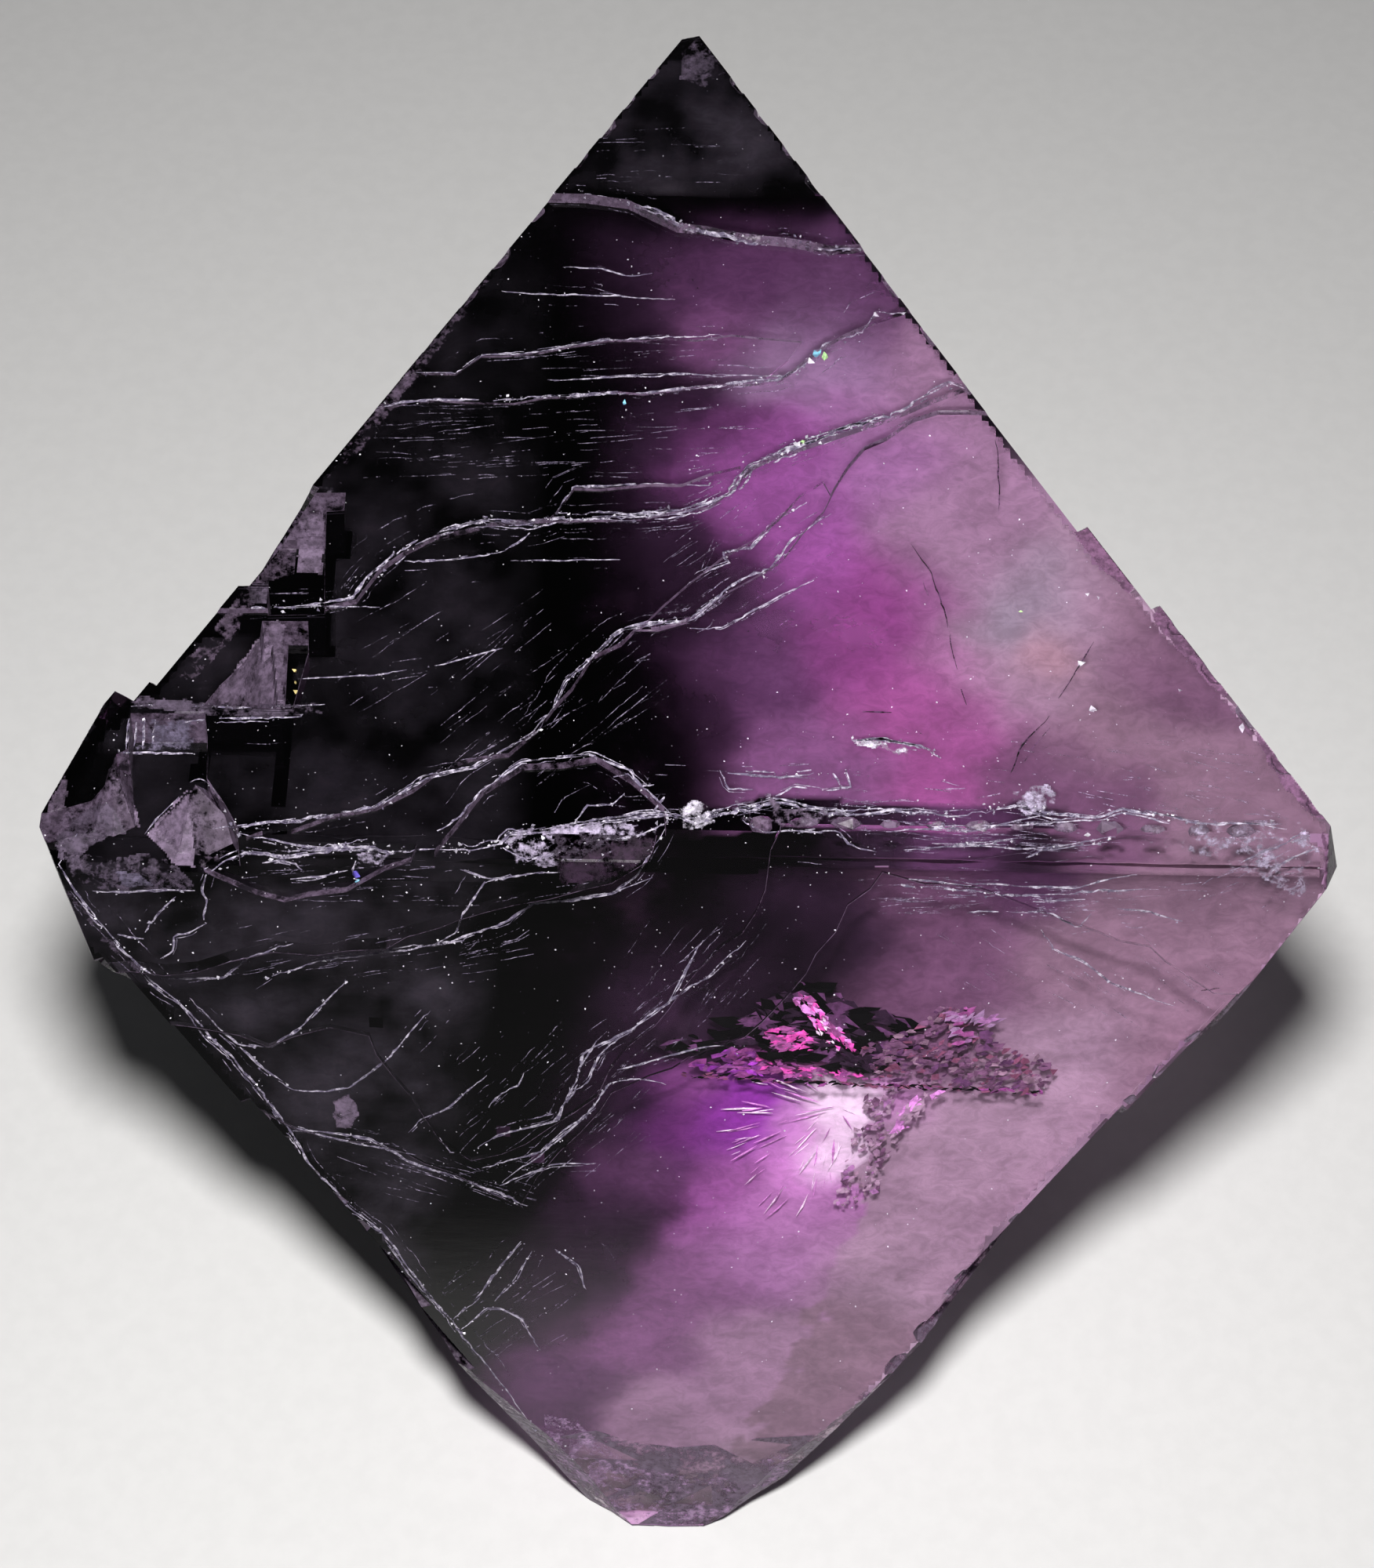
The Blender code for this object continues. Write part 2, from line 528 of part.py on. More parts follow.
def main():
    """Builds the crystal in its collection, and its cutters in another."""
    for item in list(bpy.data.objects):
        bpy.data.objects.remove(item)
    parts = bpy.data.collections.new("fluorite_octahedron")
    cutters = bpy.data.collections.new("cutters")
    bpy.context.scene.collection.children.link(parts)
    bpy.context.scene.collection.children.link(cutters)
    crystal = add_object("crystal", trimmed_block(outer_planes()), parts)
    crystal.data.materials.append(fluorite())
    cut_steps(crystal, cutters)
    cut_left_corner(crystal, cutters)
    break_corners(crystal, cutters)
    break_lower_edges(crystal, cutters)
    chip_edges(crystal, cutters)


main()
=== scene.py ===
"""Looks of a cleaved octahedron of violet fluorite that lies on one of its eight faces.

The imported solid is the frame. Its copy becomes the clear crystal, and separate thin pieces give it the
frost of its step lines, the crushed ridge, the healed cracks inside it and the small glints. Lengths are
in metres, +Z is up, the rest face lies in z = 0 and the front face looks towards -Y.
"""

from __future__ import annotations

import logging
import math
import random
from dataclasses import dataclass, field
from enum import Enum

import bmesh
import bpy
from mathutils import Matrix, Vector, noise
from mathutils.bvhtree import BVHTree


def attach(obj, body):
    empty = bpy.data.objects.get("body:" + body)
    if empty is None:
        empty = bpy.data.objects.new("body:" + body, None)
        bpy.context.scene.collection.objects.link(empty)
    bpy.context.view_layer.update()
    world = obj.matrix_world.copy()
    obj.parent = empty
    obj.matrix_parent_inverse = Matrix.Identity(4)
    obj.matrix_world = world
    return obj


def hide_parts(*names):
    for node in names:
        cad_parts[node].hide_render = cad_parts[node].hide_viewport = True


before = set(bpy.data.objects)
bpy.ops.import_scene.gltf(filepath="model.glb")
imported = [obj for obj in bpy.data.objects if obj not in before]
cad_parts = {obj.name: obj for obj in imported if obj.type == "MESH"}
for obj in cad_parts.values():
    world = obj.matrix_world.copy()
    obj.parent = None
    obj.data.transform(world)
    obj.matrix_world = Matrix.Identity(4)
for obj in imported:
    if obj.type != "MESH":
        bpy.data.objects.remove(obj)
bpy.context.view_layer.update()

LOG = logging.getLogger("fluorite")
Socket = bpy.types.NodeSocket
Colour = tuple[float, float, float, float]
Points = tuple[tuple[float, float], ...]
Hit = tuple[Vector, Vector]
Place = tuple[float, float, float]
MM = 0.001
EDGE = 36.0 * MM
INRADIUS = EDGE / math.sqrt(6.0)
HEIGHT = 2.0 * INRADIUS
# Millimetres from the middle of a whole face to its edge
RIDGE = EDGE / MM / (2.0 * math.sqrt(3.0))
FACE_LEAN = math.asin(1.0 / 3.0)
# A face of the stone that turns less than 7 degrees from a cleavage plane counts as flat
FLAT_TURN = math.cos(math.radians(7.0))
# Refractive index of fluorite
IOR = 1.434
BODY = "root"
NODE = "crystal"
# Drawn detail falls on the skin where it shows from this place
VIEWPOINT = Vector((-0.4, -55.6, 104.2)) * MM


class Plane(Enum):
    """Cleavage faces apart from the rest face, as (degrees round from +X, looks up or down)."""

    TOP = (0.0, 3.0)
    FRONT = (-90.0, 1.0)
    TOP_LEFT = (150.0, 1.0)
    TOP_RIGHT = (30.0, 1.0)
    BACK = (90.0, -1.0)
    LOW_LEFT = (-150.0, -1.0)
    LOW_RIGHT = (-30.0, -1.0)

    @property
    def normal(self) -> Vector:
        """Outward unit normal of the face."""
        if self is Plane.TOP:
            return Vector((0.0, 0.0, 1.0))
        bearing, looks = self.value
        level, angle = math.cos(FACE_LEAN), math.radians(bearing)
        return Vector((math.cos(angle) * level, math.sin(angle) * level, looks * math.sin(FACE_LEAN)))

    @property
    def matrix(self) -> Matrix:
        """Face coordinates (across, up the face, outwards) to the frame, from the middle of the face."""
        normal = self.normal
        up = Vector((0.0, 1.0, 0.0)) if self is Plane.TOP else Vector((0.0, 0.0, 1.0))
        up = (up - normal * up.dot(normal)).normalized()
        turn = Matrix((up.cross(normal), up, normal)).transposed().to_4x4()
        turn.translation = Vector((0.0, 0.0, INRADIUS)) + normal * INRADIUS
        return turn


class Surface:
    """The crystal's skin, which the drawn detail is laid on.

    Rays start some millimetres before the face and end some millimetres further on.
    """

    BEFORE: float = 5.0
    SEARCH: float = 12.0

    def __init__(self, solid: bpy.types.Object) -> None:
        """Reads the skin once.

        Args:
            solid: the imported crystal.
        """
        skin = bmesh.new()
        skin.from_mesh(solid.data)
        self.tree = BVHTree.FromBMesh(skin)
        skin.free()

    def drop(self, plane: Plane, across: float, up: float, least: float = 0.12) -> Hit | None:
        """Finds the skin behind a point of a face, as seen from the viewpoint.

        Args:
            plane: the face.
            across: millimetres across the face from its middle.
            up: millimetres up the face from its middle.
            least: how squarely the skin must face the viewpoint.

        Returns:
            The point on the skin and its normal, or None where the face has been broken away.
        """
        aim = plane.matrix @ Vector((across * MM, up * MM, 0.0))
        way = (aim - VIEWPOINT).normalized()
        place, normal, _, _ = self.tree.ray_cast(aim - way * self.BEFORE * MM, way, self.SEARCH * MM)
        if place is None or normal.dot(way) > -least:
            return None
        return place, normal


@dataclass(frozen=True)
class NodePen:
    """Short forms for making shader nodes in one tree."""

    tree: bpy.types.NodeTree

    def add(self, kind: str, **settings: object) -> bpy.types.Node:
        """Adds a node and sets its properties.

        Args:
            kind: Blender's name of the node.
            settings: properties by name.

        Returns:
            The node.
        """
        node = self.tree.nodes.new(kind)
        for name, value in settings.items():
            setattr(node, name, value)
        return node

    def fill(self, node: bpy.types.Node, values: dict[str | int, object]) -> bpy.types.Node:
        """Sets a node's inputs, or links them where a value is another node's socket.

        Args:
            node: the node.
            values: values and sockets by the name or the number of the input.

        Returns:
            The node.
        """
        for name, value in values.items():
            if isinstance(value, Socket):
                self.tree.links.new(value, node.inputs[name])
            else:
                node.inputs[name].default_value = value
        return node

    def math(self, operation: str, first: object, second: object, clamp: bool = False) -> Socket:
        """Arithmetic on two values or sockets.

        Args:
            operation: Blender's name of it.
            first: the first value.
            second: the second value.
            clamp: keeps the result between 0 and 1.

        Returns:
            The result's socket.
        """
        node = self.add("ShaderNodeMath", operation=operation, use_clamp=clamp)
        return self.fill(node, {0: first, 1: second}).outputs[0]

    def span(self, value: object, low: float, high: float, start: float = 0.0, end: float = 1.0) -> Socket:
        """Smooth step of a value between two limits.

        Args:
            value: what is measured.
            low: where the step starts.
            high: where it ends.
            start: result below low.
            end: result above high.

        Returns:
            The result's socket.
        """
        node = self.add("ShaderNodeMapRange", interpolation_type="SMOOTHSTEP")
        limits = {"Value": value, "From Min": low, "From Max": high, "To Min": start, "To Max": end}
        return self.fill(node, limits).outputs["Result"]

    def clouds(self, place: object, scale: float, detail: float = 4.0, rough: float = 0.55,
               warp: float = 0.0) -> Socket:
        """Noise between 0 and 1.

        Args:
            place: the vector it is read at.
            scale: waves for each metre.
            detail: number of finer layers.
            rough: how strong the finer layers are.
            warp: how far it is dragged about.

        Returns:
            The factor's socket.
        """
        values = {"Vector": place, "Scale": scale, "Detail": detail, "Roughness": rough, "Distortion": warp}
        return self.fill(self.add("ShaderNodeTexNoise"), values).outputs["Fac"]

    def blend(self, share: object, first: object, second: object, way: str = "MIX") -> Socket:
        """Mixes two colours.

        Args:
            share: share of the second.
            first: first colour.
            second: second colour.
            way: Blender's blend type.

        Returns:
            The mixed colour's socket.
        """
        node = self.add("ShaderNodeMix", data_type="RGBA", blend_type=way)
        return self.fill(node, {"Factor": share, "A": first, "B": second}).outputs["Result"]

    def attribute(self, name: str, output: str) -> Socket:
        """Reads an attribute of the mesh by its name, as Color or as Fac."""
        return self.add("ShaderNodeAttribute", attribute_name=name).outputs[output]

    def axes(self, place: Socket) -> bpy.types.bpy_prop_collection:
        """Splits a place into its X, Y and Z."""
        return self.fill(self.add("ShaderNodeSeparateXYZ"), {0: place}).outputs

    def grained(self, colour: Socket, grain: Socket) -> Socket:
        """Darkens and brightens a colour by a grain around 1."""
        grey = self.fill(self.add("ShaderNodeCombineColor"), dict.fromkeys(("Red", "Green", "Blue"), grain))
        return self.blend(1.0, colour, grey.outputs["Color"], "MULTIPLY")


class Tint(Enum):
    """Tones of the stone, as they show under the lamp, from 0 to 255. Some paint light itself, such as the
    glow and the flash colours of the glints.
    """

    BLACK = (8, 6, 9)
    SOOT = (48, 34, 50)
    DUSK = (94, 62, 96)
    DEEP = (118, 58, 126)
    WINE = (138, 72, 132)
    PLUM = (128, 86, 128)
    ORCHID = (152, 88, 154)
    ULTRA = (150, 62, 172)
    ROSE = (152, 84, 140)
    PEARL = (204, 196, 214)
    ASH = (78, 66, 82)
    FACET = (104, 90, 110)
    DIM = (80, 70, 86)
    SAGE = (140, 138, 150)
    PEACH = (184, 146, 154)
    VEIL = (198, 190, 206)
    PETAL = (190, 132, 190)
    VIOLET = (160, 114, 162)
    LILAC = (158, 128, 164)
    SHADE = (112, 80, 108)
    HAZE = (140, 114, 132)
    MAUVE = (160, 128, 156)
    MILK = (166, 140, 161)
    BLOOM = (218, 146, 218)
    # Painted light: near-white pink for the pool of lamp light below the fracture, its rays and the
    # brightest sparkles in the fracture
    GLOW = (255, 232, 255)
    # Partly the fracture's own pink, partly a painted highlight on it
    HOT_PINK = (236, 92, 190)
    RUST = (128, 78, 104)
    WHITE = (240, 236, 248)
    FROST = (170, 158, 184)
    SLATE = (104, 96, 118)
    GOLD = (216, 196, 132)
    CYAN = (150, 224, 255)
    LIME = (206, 255, 176)
    INDIGO = (108, 96, 200)

    @property
    def linear(self) -> Vector:
        """The tone as linear light."""
        return Vector([(share / 255.0) ** 2.2 for share in self.value])


@dataclass(frozen=True)
class ColourZones:
    """Shader node group with the crystal's colour zones, read at a place in the stone.

    The dark zone lies left of its edge and the dark tip beyond the tip's limits. The borders wander and
    are soft, and the edge leans over by a share of the height below its upper end.
    """

    name: str = "colour_zones"
    dark: Colour = (0.012, 0.006, 0.016, 1.0)
    violet: Colour = (0.36, 0.15, 0.40, 1.0)
    pink: Colour = (0.48, 0.24, 0.46, 1.0)
    pale: Colour = (0.52, 0.38, 0.49, 1.0)
    edge: float = -3.6 * MM
    soft: float = 1.5 * MM
    lean: float = 0.16
    upper: float = 0.75 * HEIGHT
    wander: float = 3.0 * MM
    tip: tuple[float, float] = (12.0 * MM, 13.6 * MM)
    paling: tuple[float, float] = (4.0 * MM, 13.0 * MM)

    def group(self) -> bpy.types.NodeTree:
        """Makes the group once.

        Returns:
            The group, with Place in, and Colour and Darkness out.
        """
        made = bpy.data.node_groups.get(self.name)
        if made:
            return made
        tree = bpy.data.node_groups.new(self.name, "ShaderNodeTree")
        tree.interface.new_socket("Place", in_out="INPUT", socket_type="NodeSocketVector")
        tree.interface.new_socket("Colour", in_out="OUTPUT", socket_type="NodeSocketColor")
        tree.interface.new_socket("Darkness", in_out="OUTPUT", socket_type="NodeSocketFloat")
        pen = NodePen(tree)
        place = pen.add("NodeGroupInput").outputs["Place"]
        axes = pen.axes(place)
        waves = pen.math("SUBTRACT", pen.clouds(place, 110.0, 3.0, 0.5, 0.4), 0.5)
        shift = pen.math("MULTIPLY", waves, self.wander)
        # The dark zone reaches less far to the right near the rest face
        lean = pen.math("MULTIPLY", pen.math("SUBTRACT", axes["Z"], self.upper), self.lean)
        across = pen.math("SUBTRACT", pen.math("ADD", axes["X"], shift), lean)
        light = pen.span(across, self.edge - self.soft, self.edge + self.soft)
        light = pen.math("MULTIPLY", light, pen.span(pen.math("ADD", axes["Y"], shift), *self.tip, 1.0, 0.0))
        streaks = pen.clouds(place, 330.0, 5.0, 0.6, 1.2)
        warm = pen.blend(pen.span(streaks, 0.35, 0.68), self.violet, self.pink)
        zone = pen.blend(pen.span(across, *self.paling), warm, self.pale)
        pen.fill(pen.add("NodeGroupOutput"), {
            "Colour": pen.blend(light, self.dark, zone),
            "Darkness": pen.math("SUBTRACT", 1.0, light),
        })
        return tree


@dataclass(frozen=True)
class Finish:
    """What all finishes share."""

    name: str

    def start(self) -> tuple[bpy.types.Material, NodePen, bpy.types.Node, Socket]:
        """Begins a material.

        Returns:
            The material, its pen, its shader and the place on the piece.
        """
        material = bpy.data.materials.new(self.name)
        material.use_nodes = True
        pen = NodePen(material.node_tree)
        place = pen.add("ShaderNodeTexCoord").outputs["Object"]
        return material, pen, material.node_tree.nodes["Principled BSDF"], place

    def zones(self, pen: NodePen, place: Socket) -> tuple[Socket, Socket]:
        """Reads the colour zones in a material.

        Args:
            pen: the material's pen.
            place: the place on the piece.

        Returns:
            The zones' colour and their darkness.
        """
        zones = pen.fill(pen.add("ShaderNodeGroup", node_tree=ColourZones().group()), {"Place": place})
        return zones.outputs["Colour"], zones.outputs["Darkness"]


@dataclass(frozen=True)
class FluoriteGlass(Finish):
    """Finish of the clear stone."""

    clear: Colour = (0.90, 0.84, 0.90, 1.0)
    dark: Colour = (0.105, 0.098, 0.110, 1.0)
    absorb_colour: Colour = (0.80, 0.60, 0.82, 1.0)
    absorb_density: float = 16.0
    specular: float = 0.15
    smooth: float = 0.035
    worn: float = 0.16
    foot: tuple[float, float] = (1.0 * MM, 9.0 * MM)
    foot_worn: float = 0.10
    stretch: tuple[float, float, float] = (0.25, 1.0, 1.0)
    scratch: float = 0.05 * MM

    def material(self) -> bpy.types.Material:
        """Makes the material.

        Returns:
            Clear violet stone with colour zones, worn patches and fine scratches.
        """
        material, pen, shader, place = self.start()
        tint = pen.blend(self.zones(pen, place)[1], self.clear, self.dark)
        worn = pen.span(pen.clouds(place, 260.0, 6.0, 0.62), 0.50, 0.75, self.smooth, self.worn)
        foot = pen.span(pen.axes(place)["Z"], *self.foot, self.foot_worn, 0.0)
        long = pen.fill(pen.add("ShaderNodeMapping"), {"Scale": self.stretch, "Vector": place})
        grain = pen.clouds(long.outputs["Vector"], 900.0, 5.0, 0.6)
        dents = {"Strength": 0.12, "Distance": self.scratch, "Height": grain}
        bump = pen.fill(pen.add("ShaderNodeBump"), dents)
        pen.fill(shader, {
            "Base Color": tint,
            "Roughness": pen.math("ADD", worn, foot),
            "IOR": IOR,
            "Transmission Weight": 1.0,
            "Specular IOR Level": self.specular,
            "Normal": bump.outputs["Normal"],
        })
        absorb = pen.fill(pen.add("ShaderNodeVolumeAbsorption"), {
            "Color": self.absorb_colour,
            "Density": self.absorb_density,
        })
        # Lamp light passes through the top, front and rest faces, tinted, and reaches what lies below
        way = pen.add("ShaderNodeLightPath").outputs["Is Shadow Ray"]
        passing = pen.fill(pen.add("ShaderNodeBsdfTransparent"), {"Color": tint})
        either = pen.fill(pen.add("ShaderNodeMixShader"), {
            "Fac": pen.math("MULTIPLY", way, pen.attribute("lets_light", "Fac")),
            1: shader.outputs["BSDF"],
            2: passing.outputs["BSDF"],
        })
        pen.fill(material.node_tree.nodes["Material Output"], {
            "Surface": either.outputs["Shader"],
            "Volume": absorb.outputs["Volume"],
        })
        return material


@dataclass(frozen=True)
class FrostFinish(Finish):
    """Finish of crushed, frosty stone along a step or in a film on a broken face."""

    cover: float = 0.5
    bright: Tint = Tint.WHITE
    dim: Tint = Tint.SLATE
    zoned: float = 0.0
    grain: float = 9000.0
    roughness: float = 0.45

    def material(self) -> bpy.types.Material:
        """Makes the material.

        Returns:
            Pale crushed stone with gaps, whose brightness varies from grain to grain.
        """
        material, pen, shader, place = self.start()
        coarse = pen.clouds(place, self.grain * 0.12, 3.0, 0.6)
        fine = pen.clouds(place, self.grain, 3.0, 0.7)
        mixed = pen.math("ADD", pen.math("MULTIPLY", coarse, 0.6), pen.math("MULTIPLY", fine, 0.4))
        speckle = pen.span(pen.clouds(place, self.grain * 0.5, 4.0, 0.7), 0.42, 0.66)
        colour = pen.blend(speckle, (*self.dim.linear, 1.0), (*self.bright.linear, 1.0))
        colour = pen.blend(self.zoned, colour, pen.blend(0.5, colour, self.zones(pen, place)[0]))
        # The more cover, the lower the level of grain that still shows
        level = 0.62 - 0.24 * self.cover
        alpha = pen.span(mixed, level - 0.07, level + 0.09)
        pen.fill(shader, {"Base Color": colour, "Roughness": self.roughness, "IOR": IOR, "Alpha": alpha})
        return material


@dataclass(frozen=True)
class TonedFinish(Finish):
    """Finish of small pieces that carry their own tone as an attribute."""

    roughness: float = 0.30
    specular: float = 0.5

    def material(self) -> bpy.types.Material:
        """Makes the material.

        Returns:
            Stone in the tone of each splinter or flake, with a fine grain.
        """
        material, pen, shader, place = self.start()
        grain = pen.span(pen.clouds(place, 4200.0, 4.0, 0.65), 0.32, 0.66, 0.55, 1.15)
        pen.fill(shader, {
            "Base Color": pen.grained(pen.attribute("tone", "Color"), grain),
            "Roughness": self.roughness,
            "IOR": IOR,
            "Specular IOR Level": self.specular,
        })
        return material


@dataclass(frozen=True)
class CloudFinish(Finish):
    """Finish of the haze sheets, which carry their tone and cover as attributes.

    The wisps run at a slant and are drawn out along it.
    """

    slant: float = math.radians(-35.0)
    stretch: tuple[float, float, float] = (0.70, 1.0, 1.0)
    thinnest: float = 0.72

    def material(self) -> bpy.types.Material:
        """Makes the material.

        Returns:
            Matt haze with wisps.
        """
        material, pen, shader, place = self.start()
        laid = {"Rotation": (0.0, 0.0, self.slant), "Scale": self.stretch, "Vector": place}
        along = pen.fill(pen.add("ShaderNodeMapping"), laid).outputs["Vector"]
        wisps = pen.span(pen.clouds(along, 620.0, 7.0, 0.62, 0.5), 0.28, 0.72, 0.86, 1.12)
        fine = pen.span(pen.clouds(along, 2600.0, 5.0, 0.7, 0.8), 0.30, 0.70, 0.84, 1.16)
        gaps = pen.span(pen.clouds(place, 260.0, 5.0, 0.6), 0.25, 0.55, self.thinnest, 1.0)
        cover = pen.math("MULTIPLY", pen.attribute("cover", "Fac"), gaps)
        # The haze shades nothing, so that one sheet leaves no dark band on the other
        lit = pen.math("SUBTRACT", 1.0, pen.add("ShaderNodeLightPath").outputs["Is Shadow Ray"])
        pen.fill(shader, {
            "Base Color": pen.grained(pen.attribute("tone", "Color"), pen.math("MULTIPLY", wisps, fine)),
            "Roughness": 0.9,
            "Specular IOR Level": 0.0,
            "Alpha": pen.math("MULTIPLY", cover, lit),
        })
        return material


@dataclass(frozen=True)
class FilmFinish(Finish):
    """Finish of the frosty films, which carry their tone and cover as attributes."""

    grain: float = 5200.0
    roughness: float = 0.55
    fill_in: float = 0.26

    def material(self) -> bpy.types.Material:
        """Makes the material.

        Returns:
            Crushed stone that breaks up into specks where its cover is low.
        """
        material, pen, shader, place = self.start()
        cover = pen.attribute("cover", "Fac")
        coarse = pen.clouds(place, self.grain * 0.16, 4.0, 0.6)
        fine = pen.clouds(place, self.grain, 3.0, 0.7)
        mixed = pen.math("ADD", pen.math("MULTIPLY", coarse, 0.55), pen.math("MULTIPLY", fine, 0.45))
        grain = pen.span(pen.clouds(place, self.grain * 0.6, 4.0, 0.75), 0.34, 0.68, 0.55, 1.45)
        lifted = pen.math("ADD", mixed, pen.math("MULTIPLY", cover, self.fill_in))
        body = pen.math("MULTIPLY", cover, 4.0, clamp=True)
        pen.fill(shader, {
            "Base Color": pen.grained(pen.attribute("tone", "Color"), grain),
            "Roughness": self.roughness,
            "IOR": IOR,
            "Alpha": pen.math("MULTIPLY", pen.span(lifted, 0.56, 0.72), body),
        })
        return material


@dataclass(frozen=True)
class SkinFinish(Finish):
    """Finish of the frosty hidden faces, seen through the stone as a soft cloud."""

    least: float = 0.55
    most: float = 0.95
    frost: Colour = (0.95, 0.90, 0.95, 1.0)
    frost_share: float = 0.22
    dark: Colour = (0.01, 0.008, 0.012, 1.0)

    def material(self) -> bpy.types.Material:
        """Makes the material.

        Returns:
            Matt stone in the colour of its zone, with faint clouds of gaps.
        """
        material, pen, shader, place = self.start()
        colour, darkness = self.zones(pen, place)
        fine = pen.span(pen.clouds(place, 900.0, 7.0, 0.68, 0.3), 0.3, 0.7)
        pale = pen.blend(fine, colour, pen.blend(self.frost_share, colour, self.frost))
        pen.fill(shader, {
            "Base Color": pen.blend(darkness, pale, self.dark),
            "Roughness": 0.9,
            "Specular IOR Level": 0.0,
            "Alpha": pen.span(pen.clouds(place, 170.0, 4.0, 0.5, 0.4), 0.2, 0.6, self.least, self.most),
        })
        return material


def drift(place: Vector) -> Vector:
    """Reads a smooth drift that is the same in every run.

    Args:
        place: where it is read.

    Returns:
        Three shifts between -1 and 1.
    """
    return Vector([noise.noise(place + Vector((9.3, -1.5, 7.9)) * step) for step in (1.0, 2.0, 3.0)])


@dataclass(frozen=True)
class Spot:
    """A soft cloud of one tone on a haze sheet, in millimetres of its face."""

    across: float
    up: float
    reach: float
    tint: Tint


TOP_SPOTS: tuple[Spot, ...] = (
    Spot(-2.3, 10.5, 2.0, Tint.SOOT), Spot(1.0, 10.4, 1.6, Tint.DUSK), Spot(4.1, 9.9, 1.4, Tint.DUSK),
    Spot(3.3, 8.4, 1.5, Tint.LILAC), Spot(6.7, 6.7, 1.6, Tint.MAUVE), Spot(5.3, 4.9, 1.8, Tint.VIOLET),
    Spot(-0.5, 4.8, 1.8, Tint.SOOT), Spot(2.0, 3.7, 1.5, Tint.ORCHID), Spot(0.4, 9.0, 1.0, Tint.PLUM),
    Spot(8.2, 2.7, 1.8, Tint.MAUVE), Spot(0.2, 0.2, 1.6, Tint.SOOT), Spot(13.9, -1.7, 1.6, Tint.HAZE),
    Spot(3.4, 0.9, 1.5, Tint.ORCHID), Spot(10.8, -0.1, 2.0, Tint.MILK), Spot(5.2, -1.6, 1.7, Tint.WINE),
    Spot(2.3, -3.3, 1.8, Tint.DUSK), Spot(-0.8, -5.2, 2.0, Tint.BLACK), Spot(6.9, -4.0, 1.6, Tint.ROSE),
    Spot(9.1, -2.6, 1.5, Tint.MILK), Spot(14.0, -2.7, 1.5, Tint.SHADE), Spot(11.9, -5.4, 1.6, Tint.HAZE),
    Spot(6.8, -7.1, 1.5, Tint.ROSE), Spot(3.8, -6.9, 1.6, Tint.PLUM), Spot(9.4, -6.8, 1.4, Tint.SHADE),
    Spot(11.4, -7.6, 1.2, Tint.SHADE), Spot(15.1, -6.9, 1.8, Tint.HAZE), Spot(-4.4, 8.0, 3.0, Tint.BLACK),
    Spot(9.9, -0.2, 1.2, Tint.SAGE), Spot(10.1, -2.2, 0.8, Tint.PEACH), Spot(9.0, -1.2, 0.7, Tint.SAGE),
    Spot(-4.0, -0.7, 3.0, Tint.BLACK), Spot(0.6, 16.6, 2.5, Tint.BLACK),
)
# Tones of the dark strip between the frosty ridge line and the sharp edge below it
STRIP_SPOTS: tuple[Spot, ...] = (
    Spot(-8.0, -9.4, 2.0, Tint.BLACK), Spot(-4.0, -9.4, 2.0, Tint.BLACK), Spot(0.0, -9.4, 2.0, Tint.BLACK),
    Spot(2.6, -9.4, 1.0, Tint.BLACK), Spot(4.8, -9.4, 1.2, Tint.SOOT), Spot(7.4, -9.4, 1.2, Tint.DUSK),
    Spot(9.6, -9.4, 1.0, Tint.SOOT), Spot(11.2, -9.4, 0.8, Tint.SHADE), Spot(13.4, -9.4, 1.5, Tint.HAZE),
    Spot(16.6, -9.4, 1.5, Tint.HAZE),
)
